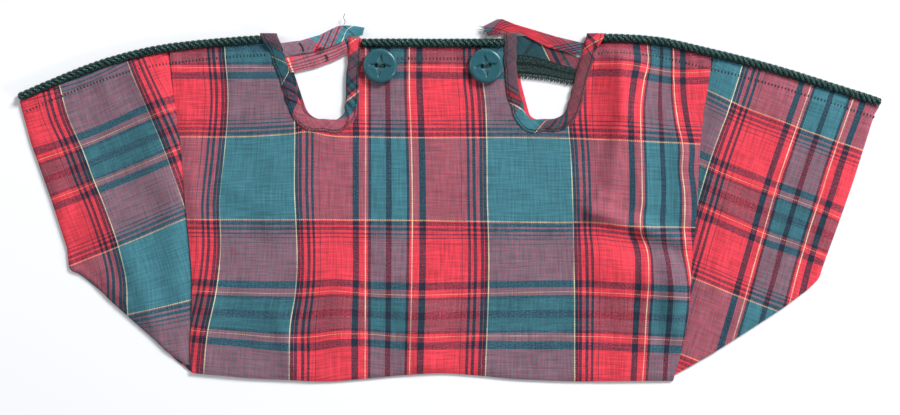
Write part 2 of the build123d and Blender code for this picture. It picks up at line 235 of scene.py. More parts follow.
def finish_material(tree, colour, roughness, height=None, bump=0.0001, **constants):
    """Ends a material: surface shader with a bump of a height link."""
    sockets = {"Base Color": colour, "Roughness": roughness, **constants}
    if height is not None:
        sockets["Normal"] = node(
            tree, "ShaderNodeBump", None,
            {"Height": height, "Distance": bump, "Strength": 1.0},
        )[0]
    shader = node(tree, "ShaderNodeBsdfPrincipled", None, sockets)[0]
    node(tree, "ShaderNodeOutputMaterial", None, {"Surface": shader})


def new_material(name):
    material = bpy.data.materials.new(name)
    material.use_nodes = True
    material.node_tree.nodes.clear()
    return material


# Bands of yarn outward from one pivot of the sett, in millimetres.
SETT = [
    (0.0, "navy"), (1.7, "teal"), (11.8, "navy"), (13.9, "red"), (20.9, "navy"),
    (25.4, "red"), (49.8, "navy"), (50.4, "red"), (54.2, "navy"), (55.9, "red"),
    (58.0, "navy"), (60.2, "red"), (62.9, "navy"), (65.0, "red"), (65.6, "navy"),
    (68.3, "teal"),
]
SETT_LINES = [(0.0, 0), (15.3, 1), (16.2, 0), (67.7, 1), (68.45, 0)]
WEFT_SETT = [
    (0.0, "navy"), (2.4, "dim teal"), (10.5, "navy"), (12.4, "red"), (17.9, "navy"),
    (23.4, "red"), (51.05, "navy"), (51.6, "red"), (54.9, "navy"), (55.6, "red"),
    (57.6, "navy"), (58.85, "red"), (60.8, "navy"), (62.8, "red"), (64.3, "navy"),
    (66.9, "red"), (68.3, "teal"),
]
WEFT_LINES = [(0.0, 0), (14.1, 1), (14.8, 0), (67.7, 1), (68.45, 0)]

# In metres, as the shader's coordinates are.
TAPE_MIDDLE = 0.0045
BEAD_PITCH = 0.0015  # of the yellow yarns, where they pass over and under
GROOVE_HALF = 0.0005


def yarn_colour(name):
    """Cube root of a yarn's colour: yarns mix by area in that space.

    A dim yarn is its colour at half the brightness.
    """
    value = getattr(bpy.context.scene.cover_colours, name.split()[-1])
    share = 0.5 if name.startswith("dim") else 1.0
    return tuple((channel * share) ** (1 / 3) for channel in value)


def band_ramp(coordinate, bands, length, kind="CONSTANT"):
    """Colour of a yarn system along a coordinate from 0 to length millimetres."""
    stops = [
        (place / length, yarn_colour(colour) if isinstance(colour, str) else colour)
        for place, colour in bands
    ]
    return node(
        coordinate.tree, "ShaderNodeValToRGB", {"interpolation": kind, "stops": stops},
        {"Fac": coordinate},
    )[0]


def woven(name, warp=SETT, weft=WEFT_SETT, warp_lines=SETT_LINES, weft_lines=WEFT_LINES,
          length=None, turn=0.0, shade=1.0, lengthwise=None, groove=None):
    """Woven cloth. Warp and weft are bands of yarn along the two cloth coordinates.

    With no length the bands mirror and repeat as a tartan's sett does. Colour is the
    cube of the yarns' mixed cube roots, with a plain weave and a fine heather swinging
    the share of each from thread to thread, and each thread a little lighter or darker
    than the next. A length is that of a tape cut on the bias: both systems then run
    along it, leaning by turn radians to either side, lengthwise lists dark green lines
    across its width, and groove is how far in its row of sewing sinks.
    """
    material = new_material(name)
    tree = material.node_tree
    sizes = bpy.context.scene.cover_sizes
    u, v = surface_place(tree)
    if length is None:
        length = sizes.sett / MM
        along, across = u, v
        warp_at = u.math("PINGPONG", sizes.sett) / sizes.sett
        weft_at = v.math("PINGPONG", sizes.sett) / sizes.sett
    else:
        lean = (v - TAPE_MIDDLE) * math.tan(turn)
        along = u * math.cos(turn) + v * math.sin(turn)
        across = v * math.cos(turn) - u * math.sin(turn)
        warp_at = (u + lean) / (length * MM)
        weft_at = (u - lean) / (length * MM)
    pitch = sizes.thread
    warp_colour = band_ramp(warp_at, warp, length)
    weft_colour = band_ramp(weft_at, weft, length)
    over = (along * (math.pi / pitch)).math("SINE") * (across * (math.pi / pitch)).math("SINE")
    heather = noise(combine(along * 880.0, across * 880.0, 11.0), 1.0, 2.0, 0.6)
    weft_share = over * 0.25 + heather * 1.5 - 0.36
    cloth = mix(weft_share, warp_colour, weft_colour)
    bead = (across * (2 * math.pi / BEAD_PITCH)).math("SINE") * 0.16 + 0.84
    # A slow noise fades the raised yellow lines from faint to full along their length.
    yellow_fade = noise(combine(along * 12.0, across * 22.0, 9.0), 1.0, 1.0) * 1.9 - 0.1
    bead = bead * yellow_fade.math("MINIMUM", 1.0)
    cross_bead = (along * (2 * math.pi / BEAD_PITCH)).math("SINE") * 0.25 + 0.56
    yellow = yarn_colour("yellow")
    gold = yarn_colour("gold")
    cloth = mix(band_ramp(weft_at, weft_lines, length) * cross_bead, cloth, gold)
    cloth = mix(band_ramp(warp_at, warp_lines, length) * bead, cloth, yellow)
    if lengthwise:
        green = band_ramp(v / (length * MM), lengthwise, length) * 0.93
        cloth = mix(green, cloth, yarn_colour("cord"))
    square = node(tree, "ShaderNodeVectorMath", {"operation": "MULTIPLY"}, {0: cloth, 1: cloth})[0]
    cloth = node(tree, "ShaderNodeVectorMath", {"operation": "MULTIPLY"}, {0: square, 1: cloth})[0]
    warp_slub = noise(combine(along * 1500.0, across * 60.0), 1.0)
    weft_slub = noise(combine(along * 60.0, across * 1500.0, 7.0), 1.0)
    warp_streak = noise(combine(along * 800.0, across * 50.0, 2.0), 1.0)
    weft_streak = noise(combine(along * 50.0, across * 860.0, 5.0), 1.0)
    cloud = noise(combine(u, v, 3.0), 45.0, 3.0)
    tone = (warp_slub + weft_slub) * 0.3 + warp_streak * 0.9 + weft_streak + cloud * 0.2 - 0.35
    height = over + (warp_slub + weft_slub) * 0.9 + (warp_streak + weft_streak) * 0.8
    if groove is not None:
        away = (v - groove * MM).math("ABSOLUTE")
        sunk_and_shaded = (1.0 - away / GROOVE_HALF).math("MAXIMUM", 0.0)
        # The row of sewing is painted darker here, as painted shade in its sunk groove, and its
        # bump sinks.
        tone = tone * (1.0 - sunk_and_shaded * 0.55)
        height = height - sunk_and_shaded * 3.0
    finish_material(
        tree, scaled(cloth, tone * shade), 0.78 + warp_slub * 0.14, height, pitch * 0.24,
        **{"Sheen Weight": 0.06, "Sheen Roughness": 0.5, "Specular IOR Level": 0.3},
    )
    return material


def cord_yarn(name):
    """Glossy twisted yarn: fine fibres wind round each strand; the colour is painted darker where
    the fuzz sinks, as painted shade in the hollows, with paler teal painted glints on its highest
    specks.
    """
    material = new_material(name)
    tree = material.node_tree
    u, v = surface_place(tree)
    fibre = ((v * 5200.0) + (u * 2400.0)).math("SINE")
    fuzz = noise(combine(u * 900.0, v * 260.0), 1.0, 3.0)
    base = bpy.context.scene.cover_colours.cord
    # dark is painted shade where the fuzz sinks; light is the colour of painted glints on the
    # fuzz's highest specks.
    dark = tuple(channel * 0.25 for channel in base)
    light = (0.085, 0.2, 0.175)
    painted_glint = node(tree, "ShaderNodeMapRange", {"interpolation_type": "SMOOTHSTEP"},
                 {"Value": fuzz + fibre * 0.07, "From Min": 0.58, "From Max": 0.85})[0]
    colour = mix(painted_glint, mix(fuzz, dark, tuple(base)), light)
    finish_material(
        tree, colour, 0.22 + fuzz * 0.2, fibre + fuzz, 0.00012,
        **{"Specular IOR Level": 0.7, "Specular Tint": (0.55, 1.0, 0.95, 1.0)},
    )
    return material


def sewing_yarn(name, colour):
    """Twisted sewing thread in one colour, painted darker in the grooves between its plies as
    painted shade.
    """
    material = new_material(name)
    tree = material.node_tree
    u, v = surface_place(tree)
    ply_and_shade = ((v * 9000.0) + (u * 3000.0)).math("SINE") * 0.5 + 0.5
    # dark is painted shade, mixed in where the twist's bump sinks.
    dark = tuple(channel * 0.6 for channel in colour)
    finish_material(tree, mix(ply_and_shade, dark, tuple(colour)), 0.55 + ply_and_shade * 0.15, ply_and_shade, 0.00005)
    return material


def fluffy_yarn(name, dark, light):
    """Fuzzy yarn, speckled from dark to light over about a millimetre."""
    material = new_material(name)
    tree = material.node_tree
    place = node(tree, "ShaderNodeTexCoord")[3]
    speck = noise(place, 900.0, 3.0, 0.7)
    lit = node(tree, "ShaderNodeMapRange", {"interpolation_type": "SMOOTHSTEP"},
               {"Value": speck, "From Min": 0.42, "From Max": 0.66})[0]
    finish_material(tree, mix(lit, dark, light), 0.7 + speck * 0.2, speck, 0.0003)
    return material


def button_plastic(name):
    """Moulded plastic, satin, with faint wear marks and a paler rim: a painted highlight on the
    rounded rim.
    """
    material = new_material(name)
    tree = material.node_tree
    u, v = surface_place(tree)
    base = bpy.context.scene.cover_colours.button
    cloud = noise(combine(u, v), 160.0, 4.0, 0.6)
    marks = noise(combine(u * 2600.0, v * 260.0), 1.0, 2.0)
    # The rim's mask mixes the colour a little toward pale: a painted highlight on the rounded rim.
    rim = node(
        tree, "ShaderNodeMapRange", {"interpolation_type": "SMOOTHSTEP"},
        {"Value": (u * u + v * v).math("SQRT"), "From Min": 0.0096, "From Max": 0.0112},
    )[0]
    pale = tuple(min(1.0, channel * 1.6 + 0.012) for channel in base)
    dark = tuple(channel * 0.82 for channel in base)
    colour = mix(rim * 0.12 + cloud * 0.3, dark, pale)
    finish_material(
        tree, colour, 0.2 + marks * 0.14, cloud + marks * 0.3, 0.00006,
        **{"Specular IOR Level": 0.5},
    )
    return material


def table_top(name):
    """Plain pale table with a barely visible mottle.

    What looks straight at it, or sees it in a gloss, gets a little more white.
    """
    material = new_material(name)
    tree = material.node_tree
    place = node(tree, "ShaderNodeTexCoord")[3]
    mottle = noise(place, 9.0, 4.0)
    base = tuple(bpy.context.scene.cover_colours.floor)
    pale = tuple(min(1.0, channel * 1.01) for channel in base)
    seen = node(tree, "ShaderNodeLightPath")
    looked_at = (seen[0] + seen[3] + seen[6]).math("MINIMUM", 1.0)
    finish_material(
        tree, mix(mottle, base, pale), 0.8, None,
        **{"Specular IOR Level": 0.05, "Emission Strength": 1.0,
           "Emission Color": mix(looked_at, (0.0, 0.0, 0.0), (0.055, 0.05, 0.045))},
    )
    return material


_materials = {}


def finish_of(name):
    """The named finish, made when first asked for."""
    if name not in _materials:
        _materials[name] = FINISHES[name](name)
    return _materials[name]


# ---- numeric helpers; lengths in millimetres ----

def smooth(t):
    t = np.clip(t, 0.0, 1.0)
    return t * t * (3.0 - 2.0 * t)


def through(t, knots):
    """Smooth curve through (t, value) knots, straight past both ends.

    Each piece is a cubic whose slope at a knot is that between its neighbours.
    """
    at, value = np.array(sorted(knots), float).T
    slope = np.gradient(value, at)
    piece = np.clip(np.searchsorted(at, t) - 1, 0, len(at) - 2)
    run = at[piece + 1] - at[piece]
    s = np.clip((t - at[piece]) / run, 0.0, 1.0)
    rise = 3 * s ** 2 - 2 * s ** 3
    bend_in = (s ** 3 - 2 * s ** 2 + s) * run * slope[piece]
    bend_out = (s ** 3 - s ** 2) * run * slope[piece + 1]
    inside = value[piece] * (1 - rise) + value[piece + 1] * rise + bend_in + bend_out
    before = np.minimum(t - at[0], 0.0) * slope[0]
    after = np.maximum(t - at[-1], 0.0) * slope[-1]
    return inside + before + after


def along_polyline(points, share):
    """Points at given shares of a polyline's length."""
    points = np.asarray(points, float)
    reach = np.concatenate([[0.0], np.cumsum(np.linalg.norm(np.diff(points, axis=0), axis=1))])
    at = np.asarray(share) * reach[-1]
    return np.stack([np.interp(at, reach, points[:, k]) for k in range(points.shape[1])], -1)


def polyline_length(points):
    return float(np.linalg.norm(np.diff(np.asarray(points, float), axis=0), axis=1).sum())


def distance_to(place, line):
    """Shortest distance in plan from points to a polyline."""
    place = np.asarray(place, float)
    flat = place.reshape(-1, 2)
    best = np.full(len(flat), np.inf)
    for start, end in zip(line[:-1], line[1:]):
        start, end = np.array(start[:2], float), np.array(end[:2], float)
        run = end - start
        t = np.clip((flat - start) @ run / max(run @ run, 1e-9), 0.0, 1.0)
        best = np.minimum(best, np.linalg.norm(flat - start - t[:, None] * run, axis=1))
    return best.reshape(place.shape[:-1])


def inside_of(place, outline):
    """Whether points lie in a closed outline: an odd number of sides to their right."""
    x, y = place[..., 0], place[..., 1]
    odd = np.zeros(x.shape, bool)
    for (x0, y0), (x1, y1) in zip(outline, np.roll(outline, -1, axis=0)):
        if y0 == y1:
            continue
        crosses = (y0 > y) != (y1 > y)
        odd ^= crosses & (x < (x1 - x0) * (y - y0) / (y1 - y0) + x0)
    return odd


def cloth_place(position, crossing, lines):
    """Cloth coordinate of points between drawn lines of the weave.

    Each line is (cloth coordinate, knots of position over crossing). Between two
    lines the coordinate runs evenly, and past the outer ones at the same rate.
    """
    at = [through(crossing, knots) for _, knots in lines]
    value = [amount for amount, _ in lines]
    total = np.full(np.shape(position), float(value[0]))
    for low, high, a, b in zip(at, at[1:], value, value[1:]):
        total += (b - a) * np.clip((position - low) / (high - low), 0.0, 1.0)
    first_rate = np.clip((value[1] - value[0]) / (at[1] - at[0]), 0.9, 1.12)
    last_rate = np.clip((value[-1] - value[-2]) / (at[-1] - at[-2]), 0.9, 1.12)
    total += np.minimum(position - at[0], 0.0) * first_rate
    total += np.maximum(position - at[-1], 0.0) * last_rate
    return total


def directions(line):
    """Unit vectors along a line, one at each of its points."""
    run = np.gradient(line, axis=0)
    return run / np.linalg.norm(run, axis=1, keepdims=True)


def inward(path, turn):
    """Unit vectors in plan across a path, to its left where turn is 1."""
    run = directions(path)
    return np.stack([-run[:, 1], run[:, 0]], -1) * turn


# ---- meshes ----

def mesh_piece(name, points, faces, uv, finish, slot, sharp=None):
    """A mesh object at the origin from points in millimetres, faces and a surface map."""
    mesh = bpy.data.meshes.new(name)
    mesh.from_pydata((np.asarray(points) * MM).tolist(), [], [list(face) for face in faces])
    corner = np.zeros(len(mesh.loops), np.int32)
    mesh.loops.foreach_get("vertex_index", corner)
    layer = mesh.uv_layers.new(name="cloth")
    layer.data.foreach_set("uv", (np.asarray(uv, float)[corner] * MM).ravel())
    mesh.polygons.foreach_set("use_smooth", np.ones(len(mesh.polygons), bool))
    if sharp is not None:
        ends = np.zeros(len(mesh.edges) * 2, np.int32)
        mesh.edges.foreach_get("vertices", ends)
        ends = ends.reshape(-1, 2)
        mesh.edges.foreach_set("use_edge_sharp", (sharp[ends] == 1).all(axis=1))
    mesh.update()
    mesh.materials.append(finish_of(finish))
    piece = bpy.data.objects.new(name, mesh)
    bpy.context.scene.collection.objects.link(piece)
    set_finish(piece, slot)
    return piece


def quads(rows, columns, wrap=False):
    """Faces of a grid of points, closed across its columns if wrap is set."""
    index = np.arange(rows * columns).reshape(rows, columns)
    if wrap:
        index = np.concatenate([index, index[:, :1]], axis=1)
    return np.stack([index[:-1, :-1], index[:-1, 1:], index[1:, 1:], index[1:, :-1]], -1)


def shell(name, points, uv, thickness, finish, slot, keep=None):
    """Cloth of even thickness on a grid of middle points.

    Each point splits into two, half the thickness up and down the surface's normal;
    every open side of the kept faces gets a wall.
    """
    rows, columns = points.shape[:2]
    across, along = np.gradient(points, axis=1), np.gradient(points, axis=0)
    normal = np.cross(across, along)
    normal /= np.maximum(np.linalg.norm(normal, axis=-1, keepdims=True), 1e-9)
    faces = quads(rows, columns)
    if normal[..., 2].mean() < 0:
        normal, faces = -normal, faces[..., ::-1]
    faces = faces.reshape(-1, 4) if keep is None else faces[keep]
    top = (points + normal * thickness / 2).reshape(-1, 3)
    bottom = (points - normal * thickness / 2).reshape(-1, 3)
    count = rows * columns
    sides = np.stack([faces, np.roll(faces, -1, axis=1)], -1).reshape(-1, 2)
    code, back = sides[:, 0] * count + sides[:, 1], sides[:, 1] * count + sides[:, 0]
    rim = sides[~np.isin(code, back)]
    walls = np.stack([rim[:, 1], rim[:, 0], rim[:, 0] + count, rim[:, 1] + count], -1)
    every = np.concatenate([faces, faces[:, ::-1] + count, walls])
    used, renamed = np.unique(every, return_inverse=True)
    every = renamed.reshape(-1, 4)
    uv = np.concatenate([uv.reshape(-1, 2)] * 2)[used]
    edge = np.zeros(2 * count, np.int8)
    edge[rim.ravel()], edge[rim.ravel() + count] = 1, 2
    return mesh_piece(
        name, np.concatenate([top, bottom])[used], every, uv, finish, slot, edge[used]
    )


def tube_points(path, radius, ring, start=0.0):
    """Rings of points round a path, its frame turned least from step to step."""
    path = np.asarray(path, float)
    run = directions(path)
    up = np.array([0.0, 0.0, 1.0]) if abs(run[0, 2]) < 0.9 else np.array([1.0, 0.0, 0.0])
    side = np.cross(run, up)
    side /= np.linalg.norm(side, axis=1, keepdims=True)
    lift = np.cross(side, run)
    angle = np.linspace(0, 2 * np.pi, ring, endpoint=False) + start
    radius = np.broadcast_to(radius, len(path))[:, None, None]
    return path[:, None] + radius * (
        np.cos(angle)[None, :, None] * side[:, None] + np.sin(angle)[None, :, None] * lift[:, None]
    )


def tube_faces(rows, ring, first=0):
    """Faces of closed rings of points, with both ends capped."""
    faces = quads(rows, ring, wrap=True).reshape(-1, 4) + first
    caps = [list(range(first + ring - 1, first - 1, -1)),
            list(range(first + (rows - 1) * ring, first + rows * ring))]
    return faces.tolist() + caps


def facing_out(faces, points):
    """Turns every face over if the closed mesh's signed volume is negative."""
    volume = 0.0
    for size in {len(face) for face in faces}:
        group = np.array([face for face in faces if len(face) == size])
        corners = points[group]
        for k in range(1, size - 1):
            volume += np.einsum(
                "ij,ij->i", corners[:, 0], np.cross(corners[:, k], corners[:, k + 1])
            ).sum()
    return [face[::-1] for face in faces] if volume < 0 else faces


def tubes(name, paths, radius, finish, slot, ring=10):
    """Several capped tubes as one piece; the map runs round and along each tube.

    The ends draw in over the last three points to a small cap.
    """
    points, faces, maps = [], [], []
    first = 0
    for number, path in enumerate(paths):
        path = np.asarray(path, float)
        rows = len(path)
        reach = np.concatenate([[0], np.cumsum(np.linalg.norm(np.diff(path, axis=0), axis=1))])
        taper = np.ones(rows)
        taper[[0, -1]] = 0.35
        taper[[1, -2]] = 0.85
        size = np.broadcast_to(radius, rows) * taper
        rings = tube_points(path, size, ring)
        part = tube_faces(rows, ring, first)
        around = np.linspace(0, 2 * np.pi * float(np.mean(size)), ring)
        maps.append(np.stack(np.broadcast_arrays(
            around[None, :], reach[:, None] + 13.0 * number), -1).reshape(-1, 2))
        points.append(rings.reshape(-1, 3))
        faces += part
        first += rows * ring
    points = np.concatenate(points)
    faces = facing_out(faces, points)
    return mesh_piece(name, points, faces, np.concatenate(maps), finish, slot)


def beads(name, places, runs, ups, length, width, height, finish, slot):
    """Like stitches: each a small rounded bead of six points round and five along.

    A bead's half width and height shrink to its ends as a circle's chord does.
    """
    ring, steps = 6, 5
    t = np.linspace(-1, 1, steps)
    swell = np.sqrt(np.maximum(1 - (t * 0.93) ** 2, 0))
    angle = np.linspace(0, 2 * np.pi, ring, endpoint=False)
    template = np.stack(np.broadcast_arrays(
        t[:, None] * length / 2, np.cos(angle)[None] * swell[:, None] * width / 2,
        np.sin(angle)[None] * swell[:, None] * height / 2), -1).reshape(-1, 3)
    sides = np.cross(ups, runs)
    axes = np.stack([runs, sides, ups], 1)
    points = np.einsum("kj,njc->nkc", template, axes) + np.asarray(places)[:, None]
    one = np.array([face for face in tube_faces(steps, ring) if len(face) == 4])
    ends = np.array([face for face in tube_faces(steps, ring) if len(face) != 4])
    faces = []
    for block in (one, ends):
        shift = np.arange(len(points))[:, None, None] * ring * steps
        faces += (block[None] + shift).reshape(-1, block.shape[1]).tolist()
    points = points.reshape(-1, 3)
    faces = facing_out(faces, points)
    uv = np.tile(template[:, :2], (len(places), 1))
    return mesh_piece(name, points, faces, uv, finish, slot)


def stitch_row(path, pitch):
    """Middles, directions and ups of stitches spaced evenly on a path."""
    count = max(int(polyline_length(path) / pitch), 2)
    share = (np.arange(count) + 0.5) / count
    places = along_polyline(path, share)
    ahead = along_polyline(path, np.minimum(share + 0.3 / count, 1))
    back = along_polyline(path, np.maximum(share - 0.3 / count, 0))
    runs = ahead - back
    runs /= np.linalg.norm(runs, axis=1, keepdims=True)
    side = np.cross(runs, [0.0, 0.0, 1.0])
    ups = np.cross(side, runs)
    ups /= np.linalg.norm(ups, axis=1, keepdims=True)
    return places, runs, ups


# ---- the cover's lines, in millimetres ----

LEFT_ARM_TOP_Y = 113.9
FOLD_Y = 63.0
CORD_Z = 3.25
SEAM_DROP = 2.9  # from the cord's middle down to the cloth's seam
LEFT_FOLD = ((-193.0, 112.6), (-179.5, -125.0))
RIGHT_FOLD = ((182.0, 112.6), (155.5, -125.0))
LEFT_SPLIT, RIGHT_SPLIT = -86.7, 66.8

LEFT_ROUTE = [(-299.2, 71.5), (-256.7, 90.5), (-214.7, 103.2), (-172.2, 109.4), (-121.8, 112.6)]
RIGHT_ROUTE = [(97.4, 113.0), (136.4, 113.2), (175.4, 104.2), (216.4, 94.2), (263.5, 79.6),
               (299.5, 68.0)]
MIDDLE_ROUTE = [(-61.4, 109.4), (-35.0, 109.7), (-8.0, 109.3), (15.0, 109.6), (38.0, 109.4)]

LEFT_NOTCH = dict(points=[(-119.8, 116.0), (-100.0, 56.4), (-73.4, 56.4), (-69.8, 116.0)],
                  radii=[13.0, 7.0])
RIGHT_NOTCH = dict(points=[(95.4, 116.0), (79.5, 56.4), (54.0, 56.4), (46.8, 84.0), (46.8, 116.0)],
                   radii=[13.0, 7.0, 30.0])

LEFT_EDGE = [(103.0, -194.5), (83.5, -193.0), (56.0, -189.0), (28.0, -186.0), (0.5, -184.0),
             (-27.5, -181.0), (-55.5, -179.0), (-83.0, -179.5), (-112.0, -180.0), (-121.0, -179.0)]
RIGHT_EDGE = [(108.0, 182.5), (87.0, 181.0), (77.0, 179.5), (63.0, 177.0), (49.0, 175.5),
              (24.5, 173.5), (0.5, 172.5), (-19.0, 171.0), (-41.5, 168.5), (-79.0, 166.0),
              (-93.5, 163.5), (-107.5, 160.5), (-125.5, 155.5)]
HEM = [(-178.5, -120.5), (-145.5, -123.5), (-111.0, -125.0), (-90.0, -125.8), (-62.0, -124.0),
       (-34.5, -121.5), (-6.5, -120.0), (21.0, -121.5), (49.0, -124.0), (77.0, -125.3),
       (155.5, -125.3)]
LEFT_BOTTOM = [(-264.5, -47.0), (-262.0, -49.5), (-256.5, -51.0), (-248.5, -56.5), (-236.0, -69.5),
               (-223.5, -80.5), (-208.5, -93.5), (-197.0, -105.0), (-185.0, -113.0),
               (-174.0, -118.5)]
LEFT_BACK_BOTTOM = [(-264.0, -48.0), (-254.0, -54.5), (-243.0, -63.5), (-223.5, -81.5),
                    (-208.0, -95.0), (-190.0, -111.5), (-179.0, -120.0)]
RIGHT_BOTTOM = [(257.0, -54.0), (250.0, -61.0), (235.5, -72.0), (227.5, -77.5), (206.0, -91.5),
                (182.5, -106.5), (150.0, -125.0)]
LEFT_SIDE = [(-299.0, 69.0), (-291.0, 40.0), (-277.0, 1.0), (-266.0, -33.0), (-264.5, -47.0)]
RIGHT_SIDE = [(299.0, 65.5), (295.5, 60.0), (281.0, 14.0), (271.0, -14.5), (259.5, -46.0),
              (257.0, -54.0)]

# Weave lines: (cloth coordinate, knots of the line's place).
CENTER_WARP = [
    (-126.5, [(106, -156.5), (72, -154), (36, -156.5), (0, -160), (-34, -159.5), (-64, -162.5),
              (-90, -168), (-122, -171.5)]),
    (-68.1, [(112, -108.5), (75, -108.5), (54, -107.5), (14, -107.5), (-69, -107.5), (-83, -110),
             (-118, -111)]),
    (-15.8, [(112, -58), (-125, -58.5)]),
    (15.8, [(112, -28), (75, -28), (50, -27), (20, -26.2), (-60, -26.5), (-125, -28)]),
    (68.1, [(112, 22.5), (82, 23), (70, 24.5), (45, 25.5), (0, 26), (-34, 27), (-125, 24.5)]),
    (126.5, [(112, 80.5), (56, 82.5), (35, 84.5), (14, 85.5), (-45, 87), (-125, 87.5)]),
    (178.8, [(108, 138), (96, 138), (83, 135), (70, 133), (28, 133.5), (0, 134), (-24, 133.5),
             (-31, 136.5), (-51, 138), (-84, 136.5), (-125, 134.5)]),
    (194.6, [(104, 147.5), (70, 146.3), (42, 147.5), (14, 149), (-30, 149), (-41, 151),
             (-60, 153), (-112, 150.5)]),
    (210.4, [(104, 155.5), (70, 156.5), (56, 158.5), (35, 162), (21, 161.3), (7, 163), (-30, 163.5),
             (-49, 166.5), (-60, 168), (-112, 163)]),
]
CENTER_WEFT = [
    (14.45, [(-194, -92.5), (-34, -93), (77, -93.5), (104, -95), (125, -94), (146, -90.5),
            (160, -89), (174, -89.5)]),
    (68.1, [(-187, -44.5), (-134, -45), (-112, -46.5), (-97, -48), (-85, -45.5), (-58, -44.5),
            (83, -43.5), (132, -41.5), (174, -39.5)]),
    (126.5, [(-180, 13.5), (-34, 14), (77, 15.5), (104, 15.5), (125, 18), (168, 19)]),
    (180.15, [(-177, 63), (-138, 64.5), (-100, 64.5), (-81, 63), (-55, 65), (-20, 66), (17, 65),
             (104, 64), (132, 65.5), (167, 67.5)]),
    (209.05, [(-179, 90), (-156, 92), (-94, 94.5), (-78, 92.5), (-62, 92.5), (-34, 94.5), (17, 94),
             (104, 94.5), (149, 96.5), (161, 97)]),
]
LEFT_WING_WARP = [
    (68.1, [(80, -271.5), (56, -264.5), (38, -256.5), (12, -246.5), (-6, -239), (-32, -230),
            (-52, -225), (-79, -224)]),
    (126.5, [(95, -223), (58, -207), (32, -196.5), (10, -189), (-5, -184)]),
]
LEFT_WING_WEFT = [
    (-14.45, [(-287, -27.5), (-256, -38), (-207, -58.5), (-191, -64.5)]),
    (14.45, [(-277, -0.5), (-246, -12.5), (-196, -32.5), (-188, -36)]),
    (68.1, [(-263, 45), (-230, 32), (-183, 12)]),
    (126.5, [(-224, 79.5), (-215, 77.5), (-201, 74.5), (-178, 69)]),
]
RIGHT_WING_WARP = [
    (-68.1, [(94, 204), (67, 195.5), (24, 180.5), (5, 175)]),
    (-15.8, [(77, 250.5), (50, 241), (5, 226), (-22, 218.5), (-68, 205.5), (-99, 196.5)]),
    (15.8, [(66, 279), (41, 270), (1, 257), (-32, 246.5), (-70, 236.5)]),
]
RIGHT_WING_WEFT = [
    (-68.1, [(179, -77), (195, -69), (233, -54), (270, -40.5), (288, -34.5)]),
    (-14.45, [(174, -26), (191, -18.5), (226, -5), (254, 5), (271, 12)]),
    (14.45, [(173, 3), (217, 22), (247, 32.5), (262, 38.5)]),
    (68.1, [(168, 53), (205, 68), (229, 77)]),
]

# Soft folds of the front cloth: start, end, height and half width.
CENTER_FOLDS = [
    ((118, 112), (119, 62), 6.4, 14), ((118, 110), (119, 60), 2.2, 4),
    ((118, 46), (113, 14), 4.6, 7), ((112, 2), (108, -6), 3.4, 6),
    ((130, 106), (130, 50), 3.2, 17), ((131, 50), (133, 0), 1.6, 6),
    ((160, 40), (163, -10), 2.0, 6), ((104, 4), (98, -8), 2.6, 4),
    ((99, -8), (136, -20), 4.2, 5.5), ((136, -20), (168, -30), 4.4, 5.5),
    ((110, -46), (165, -58), 4.2, 16),
    ((152, -44), (156, -88), 3.0, 7), ((138, -46), (136, -104), 2.4, 7),
    ((120, -40), (122, -112), 1.6, 8), ((-72, -58), (-76, -96), 2.6, 12),
    ((-149, 100), (-152, 60), 1.8, 5), ((-141, 104), (-143, 84), 1.2, 4),
    ((-165, -60), (-171, -118), 1.8, 7), ((-110, -116), (-118, -84), 1.8, 6),
    ((-20, -118), (-14, -80), 3.4, 13), ((30, 20), (34, -40), 1.0, 13),
    ((-40, 10), (-44, -50), 0.9, 11), ((90, -70), (92, -118), 1.4, 9),
    ((-186, 60), (-176, -30), 1.2, 8), ((-128, 40), (-120, -20), 0.9, 9),
    ((60, -96), (20, -112), 1.4, 8), ((-160, 10), (-130, -6), 0.7, 7),
]
LEFT_WING_FOLDS = [
    ((-206, 96), (-196, 24), 3.2, 24), ((-236, -14), (-216, -60), 2.6, 15),
    ((-220, 92), (-200, 60), 1.7, 6), ((-240, 84), (-236, 70), 1.2, 5),
    ((-262, 60), (-240, -20), 1.3, 10), ((-222, -40), (-206, -84), 2.6, 8),
    ((-196, 10), (-190, -60), 1.6, 7), ((-248, -40), (-226, -70), 1.5, 6),
    ((-276, 40), (-268, -10), 1.0, 7), ((-210, 50), (-204, 10), 0.9, 6),
]
RIGHT_WING_FOLDS = [
    ((200, 92), (190, 60), 1.5, 6), ((236, 82), (226, 30), 1.5, 9),
    ((262, 60), (248, 0), 1.4, 10), ((240, -30), (200, -80), 1.9, 9),
    ((196, 0), (186, -60), 1.6, 7), ((276, 30), (262, -20), 1.2, 7),
    ((214, 40), (206, -10), 1.0, 7),
]


def crease(place, start, end, height, width):
    """A soft ridge: its height falls off from a segment as a bell curve."""
    return height * np.exp(-(distance_to(place, [start, end]) / width) ** 2)


def lie(place, folds, phase):
    """How the front cloth stands off its flat lie: its folds and a slow swell.

    The swell is a sum of three long sine waves a few tenths of a millimetre high.
    """
    x, y = place[..., 0], place[..., 1]
    rise = 0.28 * np.sin(x / 17.0 + 1.1 * np.sin(y / 29.0 + phase))
    rise += 0.24 * np.sin(y / 13.0 + 0.9 * np.sin(x / 37.0) + phase)
    rise += 0.16 * np.sin((x + 0.7 * y) / 7.3 + phase + 1.4 * np.sin(y / 23.0))
    rise += 0.12 * np.sin((0.8 * x - y) / 5.1 + 1.7 * np.sin(x / 31.0 + phase))
    for fold in folds:
        rise = rise + crease(place, *fold)
    return rise


def rolled(rise, distance, radius, drop):
    """Rounds a cloth's edge down by drop over a radius, as a quarter of an oval does."""
    t = np.clip(distance / radius, 0.0, 1.0)
    return rise * smooth(distance / (2 * radius)) - drop * (1 - np.sqrt(1 - (1 - t) ** 2))


